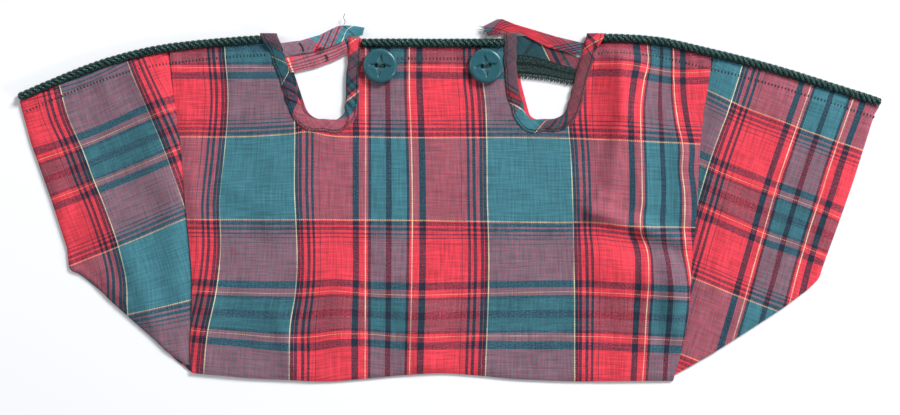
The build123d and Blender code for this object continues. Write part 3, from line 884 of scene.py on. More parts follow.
def rounded_path(points, radii, step=1.5):
    """A polyline with its corners rounded by tangent arcs, in even steps."""
    points = [np.array(point, float) for point in points]
    line = [points[0][None]]
    for before, corner, after, radius in zip(points, points[1:], points[2:], radii):
        back = (before - corner) / np.linalg.norm(before - corner)
        out = (after - corner) / np.linalg.norm(after - corner)
        half = math.acos(float(back @ out)) / 2
        reach = radius / math.tan(half)
        middle = corner + (back + out) / np.linalg.norm(back + out) * radius / math.sin(half)
        start, end = corner + back * reach - middle, corner + out * reach - middle
        turn = math.atan2(start[0] * end[1] - start[1] * end[0], start @ end)
        angle = np.linspace(0, turn, 14)[:, None]
        aside = np.array([-start[1], start[0]])
        line.append(middle + start * np.cos(angle) + aside * np.sin(angle))
    line.append(points[-1][None])
    line = np.concatenate(line)
    count = int(polyline_length(line) / step) + 1
    return along_polyline(line, np.linspace(0, 1, count))


def spline(name, points, height, steps=24):
    """Points of a smooth NURBS line whose control points are a route's points."""
    curve = bpy.data.curves.new(name, "CURVE")
    curve.dimensions = "3D"
    curve.resolution_u = steps
    line = curve.splines.new("NURBS")
    line.points.add(len(points) - 1)
    flat = np.array([(x * MM, y * MM, height * MM, 1.0) for x, y in points])
    line.points.foreach_set("co", flat.ravel())
    line.order_u = 3
    line.use_endpoint_u = True
    holder = bpy.data.objects.new(name, curve)
    bpy.context.scene.collection.objects.link(holder)
    bpy.context.view_layer.update()
    mesh = bpy.data.meshes.new_from_object(holder)
    read = np.zeros(len(mesh.vertices) * 3)
    mesh.vertices.foreach_get("co", read)
    bpy.data.objects.remove(holder)
    bpy.data.curves.remove(curve)
    bpy.data.meshes.remove(mesh)
    return read.reshape(-1, 3) / MM


def through_points(points, steps=14):
    """A short smooth line through a few points."""
    points = np.array(points, float)
    at = np.arange(len(points))
    share = np.linspace(0, len(points) - 1, steps)
    return np.stack([through(share, zip(at, points[:, k])) for k in range(3)], -1)


def beside_line(line, offset):
    """A path kept at a distance to the right of a line, in plan."""
    line = np.asarray(line, float)[:, :2]
    run = directions(line)
    return line + offset * np.stack([run[:, 1], -run[:, 0]], -1)


_lines = {}


def routes():
    """Centre lines of the cord, and the notches' edges, worked out once."""
    if not _lines:
        _lines["left"] = spline("left_route", LEFT_ROUTE, CORD_Z)
        _lines["right"] = spline("right_route", RIGHT_ROUTE, CORD_Z)
        _lines["middle"] = spline("middle_route", MIDDLE_ROUTE, CORD_Z)
        _lines["left_notch"] = rounded_path(**LEFT_NOTCH)
        _lines["right_notch"] = rounded_path(**RIGHT_NOTCH)
    return _lines


def seam_y(x):
    """Lower side of the cord above a place along the cover."""
    lines = routes()
    whole = np.concatenate([lines["left"], lines["middle"], lines["right"]])
    return np.interp(x, whole[:, 0], whole[:, 1]) - SEAM_DROP


def center_grid(columns, low_rows, high_rows, hem_drop=0.0):
    """Plan of the centre: rows from the hem to the flap's fold, then to the seam."""
    s = np.linspace(0, 1, columns)[None, :]
    along = -186.0 + s * (166.0 + 186.0)
    hem = through(along, HEM) - hem_drop
    seam_x = -194.0 + s * (182.0 + 194.0)
    seam = seam_y(seam_x)
    low = np.linspace(0, 1, low_rows)[:, None]
    high = np.linspace(0, 1, high_rows)[1:, None]
    y = np.concatenate([hem + low * (FOLD_Y - hem), FOLD_Y + high * (seam - FOLD_Y)])
    left, right = through(y, LEFT_EDGE), through(y, RIGHT_EDGE)
    x = left + s * (right - left)
    return np.stack([x, y], -1)


def notch_distance(place):
    """Distance of places in plan from the nearer opening's edge."""
    lines = routes()
    return np.minimum(distance_to(place, lines["left_notch"]),
                      distance_to(place, lines["right_notch"]))


def cell_middles(plan):
    return (plan[:-1, :-1] + plan[:-1, 1:] + plan[1:, :-1] + plan[1:, 1:]) / 4


def notched(middles, shift=0.0, margin=3.2):
    """Cells that lie in a notch, or under the fold of its binding."""
    lines = routes()
    cut = np.zeros(middles.shape[:2], bool)
    for side in ("left_notch", "right_notch"):
        outline = lines[side] + np.array([shift, 0.0])
        top = outline[[-1, 0]] + np.array([0.0, 30.0])
        closed = np.concatenate([outline, top])
        cut |= inside_of(middles, closed) | (distance_to(middles, outline) < margin)
    return cut


WEAVES = {
    "center": (CENTER_WARP, CENTER_WEFT),
    "left": (LEFT_WING_WARP, LEFT_WING_WEFT),
    "right": (RIGHT_WING_WARP, RIGHT_WING_WEFT),
}
BACK_SHIFT = 2.5  # of the openings in the back layer, along the cover


def cloth_uv(plan, panel):
    """Cloth coordinates of places in plan, from the panel's own weave lines."""
    warp, weft = WEAVES[panel]
    x, y = plan[..., 0], plan[..., 1]
    return np.stack([cloth_place(x, y, warp), cloth_place(-y, x, weft)], -1)


def patch(bottom, top, outer, inner, columns, rows):
    """Coons patch: the two ruled surfaces of facing sides, less the corners' bilinear one."""
    a, b = np.linspace(0, 1, columns)[None, :, None], np.linspace(0, 1, rows)[:, None, None]
    low, high = along_polyline(bottom, a[0, :, 0])[None], along_polyline(top, a[0, :, 0])[None]
    out = along_polyline(outer, b[:, 0, 0])[:, None]
    into = along_polyline(inner, b[:, 0, 0])[:, None]
    corners = (1 - a) * (1 - b) * low[:, :1] + a * (1 - b) * low[:, -1:]
    corners = corners + (1 - a) * b * high[:, :1] + a * b * high[:, -1:]
    return (1 - b) * low + b * high + (1 - a) * out + a * into - corners


def with_height(plan, height):
    return np.concatenate([plan, height[..., None]], -1)


FRONT_Z, BACK_Z = 2.8, 0.45
STITCH_OFFSET = 10.8  # of the topstitching from the cord's middle
STITCH_CLEAR = 9.5  # from the openings' edges, clear of the binding
STITCH_LIFT = 0.48  # above the middle of the cloth


def center_height(plan):
    """Height of the centre's front cloth over any points in plan, flap included."""
    x, y = plan[..., 0], plan[..., 1]
    notch = notch_distance(plan)
    rise = lie(plan, CENTER_FOLDS, 0.4)
    flap = smooth((x + 92) / 14) * smooth((72 - x) / 14) * smooth((y - 52) / 9)
    rise = rise * smooth((notch - 6) / 14) * (1 - flap)
    seam = seam_y(x) - y
    pucker = 0.45 * np.sin(x / 1.55 + 0.6 * np.sin(x / 9)) * np.exp(-((seam - 7) / 6) ** 2)
    rise = rise * smooth(seam / 12) + pucker * (1 - 0.7 * flap)
    side = np.minimum(x - through(y, LEFT_EDGE), through(y, RIGHT_EDGE) - x)
    hem = np.maximum(y - through(x, HEM), 0)
    return FRONT_Z + np.minimum(rolled(rise, side, 3.0, 0.2), rolled(rise, hem, 3.0, 1.3))


def wing_height(plan, side, rims):
    """Height of a wing's front cloth over any points in plan, low where it tucks under."""
    bottom, outer, inner = rims
    rim = np.minimum(distance_to(plan, bottom), distance_to(plan, outer))
    fold = distance_to(plan, inner)
    seam = seam_y(plan[..., 0]) - plan[..., 1]
    folds = LEFT_WING_FOLDS if side == "left" else RIGHT_WING_FOLDS
    rise = lie(plan, folds, 1.9) * smooth(fold / 14) * smooth(seam / 12)
    pucker = 0.25 * np.sin(plan[..., 0] / 1.7) * np.exp(-((seam - 7) / 6) ** 2)
    rise = rise + pucker * smooth(fold / 14)
    tucked = 1.5 * (1 - smooth((fold - 4.5) / 9))
    return np.maximum(FRONT_Z + rolled(rise, rim, 3.5, 1.3) - tucked, 1.3)


def declare(piece):
    """Reads the cloth's points into an array and does nothing more with them."""
    count = len(piece.data.vertices)
    co = np.zeros(count * 3)
    piece.data.vertices.foreach_get("co", co)


# ---- operators ----

class CoverStage(bpy.types.Operator):
    """Lays the pale table, the soft lamps and the camera straight above"""
    bl_idname = "cover.stage"
    bl_label = "Stage"

    def execute(self, context):
        scene = context.scene
        scene.view_settings.view_transform = "Standard"
        half = 4.0
        corner = np.array([(-half, -half, 0), (half, -half, 0), (half, half, 0), (-half, half, 0)])
        table = mesh_piece(
            "table", corner / MM, [(0, 1, 2, 3)], corner[:, :2] / MM, "pale table", "tartan_cloth"
        )
        del table["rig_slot"]
        camera_data = bpy.data.cameras.new("camera")
        camera_data.lens, camera_data.sensor_width = 85.0, 36.0
        camera = bpy.data.objects.new("camera", camera_data)
        camera.location = (0.35 * MM, -4.87 * MM, 1.4805)
        scene.collection.objects.link(camera)
        scene.camera = camera
        for name, place, size, power in (
            ("key lamp", (1.7, 1.9, 1.95), 1.1, 115.0),
            ("fill lamp", (-1.0, 0.35, 0.95), 0.7, 3.2),
            ("side lamp", (1.75, -0.85, 0.85), 0.3, 11.0),
        ):
            data = bpy.data.lights.new(name, "AREA")
            data.shape, data.size, data.energy = "DISK", size, power
            lamp = bpy.data.objects.new(name, data)
            lamp.location = place
            lamp.rotation_euler = (-Vector(place)).to_track_quat("-Z", "Y").to_euler()
            scene.collection.objects.link(lamp)
        world = bpy.data.worlds.new("room")
        scene.world = world
        world.use_nodes = True
        tree = world.node_tree
        tree.nodes.clear()
        sky = node(tree, "ShaderNodeBackground", None,
                   {"Color": (0.86, 0.93, 1.0, 1.0), "Strength": 0.27})[0]
        node(tree, "ShaderNodeOutputWorld", None, {"Surface": sky})
        return {"FINISHED"}


def wing_blend(piece, side):
    """Works out the outward side of a wing's fold line, which nothing uses, and bakes the piece's
    placement into its mesh.
    """
    (x0, y0), (x1, y1) = LEFT_FOLD if side == "left" else RIGHT_FOLD
    run = np.array([x1 - x0, y1 - y0])
    run /= np.linalg.norm(run)
    out = np.array([run[1], -run[0]])
    if (out[0] < 0) != (side == "left"):
        out = -out
    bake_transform(piece)


def flap_blend(piece):
    """Bakes the piece's placement into its mesh."""
    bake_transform(piece)


def strap_blend(piece, side, upper, lower):
    """Works out which way is ahead of a strap's edge, which nothing uses, and bakes the piece's
    placement into its mesh.
    """
    edge = np.array(upper[0]) - np.array(lower[0])
    ahead = np.array([edge[1], -edge[0]]) / np.linalg.norm(edge)
    if side == "right":
        ahead = -ahead
    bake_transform(piece)


def wing_plan(side, back):
    """Plan of a wing, between its seam, outer side, bottom and fold line, and the last three.

    The inner side is tucked a little under the centre's cloth.
    """
    lines = routes()
    if side == "left":
        route, outer, bottom = lines["left"], LEFT_SIDE, LEFT_BACK_BOTTOM if back else LEFT_BOTTOM
        edge, tuck = LEFT_EDGE, 5.0
        line = route[route[:, 0] < -188.0][:, :2]
    else:
        route, outer, bottom = lines["right"], RIGHT_SIDE, RIGHT_BOTTOM
        edge, tuck = RIGHT_EDGE, -5.0
        line = route[route[:, 0] > 177.0][::-1, :2]
    top = np.concatenate([[outer[0]], line[3:] - np.array([0.0, SEAM_DROP])])
    y = np.linspace(bottom[-1][1], top[-1, 1], 60)
    inner = np.stack([through(y, edge) + tuck, y], -1)
    inner[0], inner[-1] = bottom[-1], (inner[-1, 0], top[-1, 1])
    top = np.concatenate([top[:-1], inner[-1:]])
    return patch(bottom, top, outer[::-1], inner, 72, 104), bottom, outer, inner


class CoverFrontCloth(bpy.types.Operator):
    """Sews the front cloth: centre, button flap and two wings"""
    bl_idname = "cover.front_cloth"
    bl_label = "Front cloth"

    def execute(self, context):
        thickness = context.scene.cover_sizes.cloth / MM
        plan = center_grid(210, 100, 30)
        uv = cloth_uv(plan, "center")
        points = with_height(plan, center_height(plan))
        middles = cell_middles(plan)
        cut = notched(middles)
        x, y = middles[..., 0], middles[..., 1]
        flap = (y > FOLD_Y) & (x > LEFT_SPLIT) & (x < RIGHT_SPLIT)
        center = shell("front_center_cloth", points, uv, thickness, "tartan", "tartan_cloth",
                       ~cut & ~flap)
        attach(center, "cover")
        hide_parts("front_center_panel")
        declare(center)
        piece = shell("flap_cloth", points, uv, thickness, "tartan", "tartan_cloth", ~cut & flap)
        flap_blend(piece)
        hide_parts("button_flap")
        declare(piece)
        for side in ("left", "right"):
            plan, *rims = wing_plan(side, False)
            uv = cloth_uv(plan, side)
            points = with_height(plan, wing_height(plan, side, rims))
            wing = shell(side + "_front_wing_cloth", points, uv, thickness,
                         "tartan", "tartan_cloth")
            wing_blend(wing, side)
            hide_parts(side + "_front_wing")
            declare(wing)
        return {"FINISHED"}


class CoverBackCloth(bpy.types.Operator):
    """Sews the back cloth: centre and two wings"""
    bl_idname = "cover.back_cloth"
    bl_label = "Back cloth"

    def execute(self, context):
        thickness = context.scene.cover_sizes.cloth / MM
        plan = center_grid(150, 74, 22)
        middle = plan.copy()
        gap = seam_y(plan[..., 0]) - plan[..., 1]
        between_openings = (plan[..., 0] > -68) & (plan[..., 0] < 46)
        middle[..., 1] -= np.where(between_openings, 0.8, 0.0) * smooth(1 - gap / 20)
        hem = plan[..., 1] - through(plan[..., 0], HEM)
        height = BACK_Z + 0.25 * (1 - smooth(hem / 4))
        uv = cloth_uv(plan, "center") + np.array([31.0, 12.0])
        cut = notched(cell_middles(plan), BACK_SHIFT)
        center = shell("back_center_cloth", with_height(middle, height), uv, thickness, "tartan",
                       "tartan_cloth", ~cut)
        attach(center, "cover")
        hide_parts("back_center_panel")
        declare(center)
        for side in ("left", "right"):
            plan, bottom, outer, _ = wing_plan(side, True)
            uv = cloth_uv(plan, side) + np.array([40.0, 18.0])
            rim = np.minimum(distance_to(plan, bottom), distance_to(plan, outer))
            height = BACK_Z + 0.25 * (1 - smooth(rim / 4))
            wing = shell(side + "_back_wing_cloth", with_height(plan, height), uv, thickness,
                         "tartan", "tartan_cloth")
            wing_blend(wing, side)
            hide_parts(side + "_back_wing")
            declare(wing)
        return {"FINISHED"}


def binding_profile(width, wall, low, high, crown):
    """Section of folded tape, as (distance into the cloth, height) round its outline.

    The outside runs over the crowned upper leg, round the cloth's edge as half an
    oval, and back under; the inside is the same line drawn in by the tape's wall.
    """
    leg = np.linspace(1, 0.13, 9)
    top = np.stack([width * leg, high + crown * np.sin(np.pi * leg ** 0.8)], -1)
    angle = np.linspace(np.pi / 2, -np.pi / 2, 9)[1:-1]
    middle, half = (high + low) / 2, (high - low) / 2
    reach = 0.13 * width
    bulge = np.stack([reach * (1 - np.cos(angle)), middle + half * np.sin(angle)], -1)
    under = np.stack([width * 0.95 * leg[::-1], np.full(9, low)], -1)
    outside = np.concatenate([top, bulge, under])
    inside_top = np.stack([width * leg, high - wall + crown * np.sin(np.pi * leg ** 0.8)], -1)
    inside_bulge = np.stack([wall + (reach - wall) * (1 - np.cos(angle)),
                             middle + (half - wall) * np.sin(angle)], -1)
    inside_under = np.stack([width * 0.95 * leg[::-1], np.full(9, low + wall)], -1)
    inside = np.concatenate([inside_top, inside_bulge, inside_under])
    across = np.concatenate([np.linspace(0, 22, len(outside)), np.linspace(22, 0, len(inside))])
    return np.concatenate([outside, inside[::-1]]), across


def binding(name, path, turn, finish, profile, across, start_length=0.0, wave=0.0, over=None):
    """Tape folded over an edge: its section carried along the notch, closed at both ends.

    turn says on which side of the path the cloth lies; over is where along it the
    tape's upper leg rises and widens over a cord's end.
    """
    path = np.asarray(path, float)
    into = inward(path, turn)
    steps = np.linalg.norm(np.diff(path, axis=0), axis=1)
    reach = np.concatenate([[0], np.cumsum(steps)]) + start_length
    ripple = 1 + wave * np.sin(reach / 3.1 + 1.3 * np.sin(reach / 11))
    covering = np.zeros(len(path)) if over is None else smooth((11.0 - np.abs(reach - over)) / 6.0)
    ripple = ripple + 0.35 * covering
    level = into * np.stack([np.ones(len(path)), 1 - covering], -1)
    edge = wave * 9.0 * np.sin(reach / 2.3 + 2.0 * np.sin(reach / 7.0))
    depth, height = profile[None, :, :1], profile[None, :, 1:]
    depth = depth * ripple[:, None, None] + edge[:, None, None]
    height = height + 3.5 * covering[:, None, None] * smooth((height - 2.6) / 0.7)
    points = np.concatenate([path[:, None] + level[:, None] * depth, height], -1)
    rows, ring = points.shape[:2]
    uv = np.stack(np.broadcast_arrays(reach[:, None], across[None, :]), -1).reshape(-1, 2)
    faces = facing_out(tube_faces(rows, ring), points.reshape(-1, 3))
    return mesh_piece(name, points.reshape(-1, 3), faces, uv, finish, "bias_binding")


class CoverBindings(bpy.types.Operator):
    """Folds bias tape over the edges of both openings, front and back"""
    bl_idname = "cover.bindings"
    bl_label = "Bindings"

    def execute(self, context):
        sizes = context.scene.cover_sizes
        width, wall = sizes.tape_width / MM, sizes.tape_wall / MM
        lines = routes()
        front, across = binding_profile(width, wall, 1.95, 3.62, 0.45)
        back, back_across = binding_profile(width, wall, 0.02, 1.25, 0.12)
        for side in ("left", "right"):
            path = lines[side + "_notch"]
            middle = int(np.argmin(path[:, 1]))
            turn = 1.0 if side == "left" else -1.0
            rising = np.arange(len(path)) > middle
            split = int(np.argmax(rising & (path[:, 1] > FOLD_Y)))
            fixed = np.concatenate([path[:split], [self.crossing(path, split)]])
            arm = np.concatenate([[self.crossing(path, split)], path[split:]])
            if side == "left":
                arm = arm[arm[:, 1] <= LEFT_ARM_TOP_Y]
            length = polyline_length(fixed)
            piece = binding(side + "_front_tape", fixed, -turn, side + " tape", front, across,
                            0.0, 0.035, 0.0)
            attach(piece, "cover")
            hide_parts(side + "_front_binding")
            self.declare_tape(piece, length, width)
            piece = binding(side + "_flap_tape", arm, -turn, side + " tape", front, across,
                            length, 0.035)
            flap_blend(piece)
            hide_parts(side + "_flap_binding")
            self.declare_tape(piece, polyline_length(arm), width)
            shifted = path + np.array([BACK_SHIFT, 0.0])
            first = int(np.argmax(shifted[:, 1] < 98.0))
            last = len(shifted) - int(np.argmax(shifted[::-1, 1] < 105.5))
            shifted = shifted[first:last]
            piece = binding(side + "_back_tape", shifted, -turn, side + " back tape", back,
                            back_across)
            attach(piece, "cover")
            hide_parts(side + "_back_binding")
            self.declare_tape(piece, polyline_length(shifted), width)
        return {"FINISHED"}

    def crossing(self, path, index):
        """Point where the path climbs through the flap's fold line."""
        low, high = path[index - 1], path[index]
        share = (FOLD_Y - low[1]) / (high[1] - low[1])
        return low + share * (high - low)

    def declare_tape(self, piece, length, width):
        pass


def between(upper, lower, columns, rows):
    """Plan ruled between two edges, each divided by its own length."""
    share = np.linspace(0, 1, columns)
    high, low = along_polyline(upper, share)[None], along_polyline(lower, share)[None]
    t = np.linspace(0, 1, rows)[:, None, None]
    return low + t * (high - low)


def strip(name, upper, lower, low, thickness, crown, finish, columns=70, rows=12):
    """Folded strip of cloth between two edges, crowned across and faintly rippled."""
    plan = between(upper, lower, columns, rows)
    t = np.linspace(0, 1, rows)[:, None]
    s = np.linspace(0, 1, columns)[None, :]
    height = low + thickness / 2 + crown * np.sqrt(np.maximum(1 - (2 * t - 1) ** 4, 0))
    height = height + 0.12 * np.sin(s * 31 + 3 * t) * (1 - (2 * t - 1) ** 2)
    reach = polyline_length(upper)
    width = polyline_length([upper[len(upper) // 2], lower[len(lower) // 2]])
    uv = np.stack(np.broadcast_arrays(s * reach, t * width), -1)
    return shell(name, with_height(plan, height), uv, thickness, finish, "tartan_cloth")


LEFT_STRAP_UPPER = [(-117.4, 109.2), (-110.0, 110.3), (-103.5, 111.0), (-97.0, 113.0),
                    (-90.0, 115.0), (-83.0, 118.6), (-77.5, 121.2), (-72.6, 121.6),
                    (-65.7, 121.2), (-59.0, 120.0)]
LEFT_STRAP_LOWER = [(-114.3, 100.6), (-106.0, 101.8), (-97.0, 103.0), (-90.0, 104.8),
                    (-83.0, 106.8), (-77.5, 109.2), (-73.0, 111.4), (-71.2, 114.9),
                    (-66.0, 114.9), (-60.6, 114.9)]
RIGHT_STRAP_UPPER = [(93.2, 109.2), (73.3, 114.0), (59.4, 118.2), (45.5, 122.2), (36.5, 126.0),
                     (33.0, 125.8), (28.0, 123.2), (23.6, 121.0)]
RIGHT_STRAP_LOWER = [(90.9, 100.6), (83.0, 102.8), (69.0, 106.6), (63.0, 109.4), (55.9, 113.0),
                     (49.4, 116.9), (36.8, 116.9), (35.2, 115.4), (26.6, 114.6)]
LEFT_BAND_UPPER = [(-119.0, 99.4), (-112.6, 99.4), (-83.0, 109.0), (-72.0, 113.0), (-61.6, 113.0)]
LEFT_BAND_LOWER = [(-119.0, 88.7), (-107.4, 89.3), (-93.5, 92.4), (-79.6, 97.6), (-70.5, 102.5),
                   (-61.6, 104.5)]
RIGHT_BAND_UPPER = [(38.6, 115.0), (56.0, 114.4), (69.0, 109.2), (89.0, 99.6), (95.6, 99.6)]
RIGHT_BAND_LOWER = [(38.6, 89.6), (56.0, 87.8), (68.5, 86.5), (77.0, 84.8), (95.6, 81.8)]
RIGHT_SEAM_LOWER = [(38.6, 86.3), (56.0, 84.5), (68.5, 83.2), (77.0, 81.5), (95.6, 78.6)]


class CoverBands(bpy.types.Operator):
    """Lays the back layer's bands behind the openings, and the overlocked edge"""
    bl_idname = "cover.bands"
    bl_label = "Back bands"

    def execute(self, context):
        low, thickness, crown = 1.27, 0.7, 0.12
        left = strip("left_band", LEFT_BAND_UPPER, LEFT_BAND_LOWER, low, thickness, crown,
                     "crimson band")
        right = strip("right_band", RIGHT_BAND_UPPER, RIGHT_BAND_LOWER, low, thickness, crown,
                      "green band", rows=20)
        for piece, node_name in ((left, "left_back_band"), (right, "right_back_band")):
            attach(piece, "cover")
            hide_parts(node_name)
            declare(piece)
        edge = self.overlock()
        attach(edge, "cover")
        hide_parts("right_band_overlock")
        return {"FINISHED"}

    def overlock(self):
        """Looped thread over a raw edge: each loop a flat oval leaning forward."""
        rows = [(between(RIGHT_BAND_LOWER, RIGHT_SEAM_LOWER, 60, 3)[1], 1.75, 68.0, 0.85)]
        whole = between(RIGHT_BAND_UPPER, RIGHT_BAND_LOWER, 60, 13)
        rows += [(whole[1], 2.1, 40.0, 0.9), (whole[2], 2.15, -52.0, 1.0),
                 (whole[4], 2.2, 58.0, 1.15), (whole[5], 2.2, -35.0, 1.4)]
        places, turned, ups = [], [], []
        for line, height, lean, pitch in rows:
            place, run, up = stitch_row(with_height(line, np.full(60, height)), pitch)
            wobble = np.radians(lean) + 0.35 * np.sin(np.arange(len(place)) * 2.4)
            side = np.cross(up, run)
            places.append(place)
            turned.append(run * np.cos(wobble)[:, None] + side * np.sin(wobble)[:, None])
            ups.append(up)
        return beads("right_band_loops", np.concatenate(places), np.concatenate(turned),
                     np.concatenate(ups), 4.0, 0.8, 0.75, "overlock yarn", "sewing_thread")


class CoverStraps(bpy.types.Operator):
    """Sews the two closing straps and their roots between the layers"""
    bl_idname = "cover.straps"
    bl_label = "Closing straps"

    def execute(self, context):
        low, thickness, crown = 2.5, 0.95, 0.35
        edges = {
            "left": (LEFT_STRAP_UPPER, LEFT_STRAP_LOWER),
            "right": (RIGHT_STRAP_UPPER, RIGHT_STRAP_LOWER),
        }
        straps = {
            side: strip(side + "_closing_strap", *edges[side], low, thickness, crown,
                        side + " strap")
            for side in edges
        }
        ends = {
            "left": ([(-126.4, 108.6), (-118.2, 108.8)], [(-122.8, 100.6), (-115.2, 100.6)]),
            "right": ([(102.0, 108.8), (94.2, 109.0)], [(98.9, 100.6), (91.6, 100.6)]),
        }
        for side, piece in straps.items():
            root = strip(side + "_strap_end", *ends[side], 0.95, 1.2, 0.05, side + " strap",
                         12, 8)
            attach(root, "cover")
            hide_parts(side + "_strap_root")
            strap_blend(piece, side, *edges[side])
            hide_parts(side + "_strap")
            declare(piece)
        return {"FINISHED"}


class CoverCords(bpy.types.Operator):
    """Twists the three-strand cord of the top edge and its sewn-in lip"""
    bl_idname = "cover.cords"
    bl_label = "Corded edge"

    def execute(self, context):
        lines = routes()
        for side in ("left", "right"):
            cord = self.cord(side + "_edge_cord", lines[side])
            wing_blend(cord, side)
            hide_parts(side + "_inner_cord", side + "_wing_cord")
        middle = self.cord("flap_edge_cord", lines["middle"])
        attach(middle, "button_flap")
        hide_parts("middle_cord")
        for side in ("left", "right"):
            lip = self.lip(side + "_cord_lip", lines[side], 1.6)
            wing_blend(lip, side)
            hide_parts(side + "_inner_lip", side + "_wing_lip")
        lip = self.lip("flap_cord_lip", lines["middle"], 1.8)
        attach(lip, "button_flap")
        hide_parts("middle_lip")
        return {"FINISHED"}

    def cord(self, name, route):
        """Three strands wound as helices a third of a turn apart round the route.

        A strand's centre circles the route once in each lay, and its radius fills
        the cord's outside.
        """
        sizes = bpy.context.scene.cover_sizes
        lay, radius = sizes.cord_lay / MM, sizes.cord / MM / 2
        length = polyline_length(route)
        steps = int(length / lay * 22)
        share = np.linspace(0, 1, steps)
        center = along_polyline(route, share)
        run = directions(center)
        side = np.stack([run[:, 1], -run[:, 0], np.zeros(steps)], -1)
        strand = radius * 0.49
        paths = []
        for k in range(3):
            angle = -2 * np.pi * (share * length / lay + k / 3)
            spread = (radius - strand) * (1 + 0.03 * np.sin(share * length / 7.7 + k))
            offset = np.cos(angle)[:, None] * side + np.sin(angle)[:, None] * np.array([0, 0, 1.0])
            paths.append(center + offset * np.asarray(spread)[:, None])
        return tubes(name, paths, strand, "cord yarn", "corded_edge", ring=12)

    def lip(self, name, route, height):
        """Flat woven lip beside the cord, in the seam below it."""
        upper, lower = beside_line(route, 3.3), beside_line(route, 9.6)
        keep = slice(4, -4)
        plan = between(upper[keep], lower[keep], 120, 4)
        reach = polyline_length(route)
        uv = np.stack(np.broadcast_arrays(
            np.linspace(0, reach, 120)[None, :], np.linspace(0, 6.5, 4)[:, None]), -1)
        return shell(name, with_height(plan, np.full(plan.shape[:2], height)), uv, 0.6,
                     "lip tape", "cord_lip")


class CoverLooseThreads(bpy.types.Operator):
    """Ties the dark tacks of the left strap and leaves a few frayed ends"""
    bl_idname = "cover.loose_threads"
    bl_label = "Loose threads"

    def execute(self, context):
        tacks = tubes("left_strap_tacks", [
            through_points([(-104.3, 109.6, 4.0), (-103.2, 108.2, 4.3), (-101.9, 106.5, 4.3),
                            (-101.2, 103.4, 4.1)]),
            through_points([(-92.4, 104.6, 4.1), (-90.0, 105.8, 4.6), (-87.6, 105.9, 4.7),
                            (-86.4, 105.0, 4.3)]),
            through_points([(-91.2, 105.6, 4.3), (-89.2, 104.5, 4.8), (-87.4, 104.6, 4.8),
                            (-86.0, 105.8, 4.3)]),
        ], 0.42, "overlock yarn", "sewing_thread", 8)
        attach(tacks, "left_strap")
        tie = tubes("left_band_tack", [
            through_points([(-86.6, 101.6, 2.4), (-85.0, 99.9, 2.8), (-84.8, 98.2, 2.8),
                            (-86.0, 96.6, 2.4)]),
        ], 0.4, "overlock yarn", "sewing_thread", 8)
        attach(tie, "cover")
        lone = tubes("left_strap_fray", [
            through_points([(-73.4, 122.0, 3.2), (-72.6, 124.6, 3.6), (-73.6, 127.4, 3.4),
                            (-72.4, 130.6, 3.0)]),
        ], 0.2, "overlock yarn", "sewing_thread", 6)
        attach(lone, "left_strap")
        for name, finish, first, count in (
            ("right_strap_dark_frays", "overlock yarn", 0, 9),
            ("right_strap_pale_frays", "pale thread", 9, 7),
        ):
            frays = tubes(name, [self.fray(k) for k in range(first, first + count)], 0.16, finish,
                          "sewing_thread", 5)
            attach(frays, "right_strap")
        return {"FINISHED"}

    def fray(self, number):
        """One frayed end: a short bent line out of the right strap's tip."""
        share = (number * 0.618) % 1.0
        start = np.array([23.9, 120.6]) * (1 - share) + np.array([26.8, 114.9]) * share
        turn = math.radians(195 + 60 * math.sin(number * 1.9))
        length = 2.0 + 2.6 * ((number * 0.37) % 1.0)
        ahead = np.array([math.cos(turn), math.sin(turn)])
        aside = np.array([-ahead[1], ahead[0]]) * math.sin(number * 2.7) * 0.9
        points = [start - ahead * 2.0, start, start + ahead * length * 0.5 + aside,
                  start + ahead * length]
        return through_points([(*point, 3.3 - 0.25 * k) for k, point in enumerate(points)])


class CoverStitching(bpy.types.Operator):
    """Sews the rows of topstitching under the cord and along the bindings"""
    bl_idname = "cover.stitching"
    bl_label = "Stitching"

    def execute(self, context):
        lines = routes()
        for side in ("left", "right"):
            path = beside_line(lines[side], STITCH_OFFSET)
            path = path[distance_to(path, lines[side + "_notch"]) > STITCH_CLEAR]
            path = with_height(path, self.front_height(path, side) + STITCH_LIFT)
            row = self.row(side + "_seam_stitches", path, True)
            wing_blend(row, side)
            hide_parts(side + "_topstitch", side + "_wing_topstitch")
        path = beside_line(lines["middle"], STITCH_OFFSET)
        path = path[notch_distance(path) > STITCH_CLEAR]
        path = with_height(path, center_height(path) + STITCH_LIFT)
        row = self.row("flap_seam_stitches", path, True, "maroon thread")
        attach(row, "button_flap")
        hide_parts("middle_topstitch")
        for side, turn in (("left", -1.0), ("right", 1.0)):
            path = lines[side + "_notch"]
            into = inward(path, turn)
            rising = np.arange(len(path)) > int(np.argmin(path[:, 1]))
            for body, keep in (("cover", ~(rising & (path[:, 1] > FOLD_Y - 1))),
                               ("flap", rising & (path[:, 1] > FOLD_Y + 1) & (path[:, 1] < 112))):
                edge = (path + into * 7.9)[keep]
                edge = with_height(edge, np.full(len(edge), 3.85))
                row = self.row(f"{side}_{body}_tape_stitches", edge)
                if body == "cover":
                    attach(row, "cover")
                else:
                    flap_blend(row)
        return {"FINISHED"}

    def front_height(self, path, side):
        """Height of the front cloth along a path over the centre and one wing."""
        edge = through(path[:, 1], LEFT_EDGE if side == "left" else RIGHT_EDGE)
        outside = path[:, 0] < edge if side == "left" else path[:, 0] > edge
        _, *rims = wing_plan(side, False)
        return np.where(outside, wing_height(path, side, rims), center_height(path))

    def row(self, name, path, across=False, finish="dark thread"):
        """One row of stitches, laid across the seam as gathers or along it."""
        sizes = bpy.context.scene.cover_sizes
        places, runs, ups = stitch_row(path, sizes.stitch_pitch / MM)
        length, width = sizes.stitch / MM, 0.45
        if across:
            runs, length, width = np.cross(ups, runs), length * 1.15, 1.05
        return beads(name, places, runs, ups, length, width, 0.42, finish, "sewing_thread")


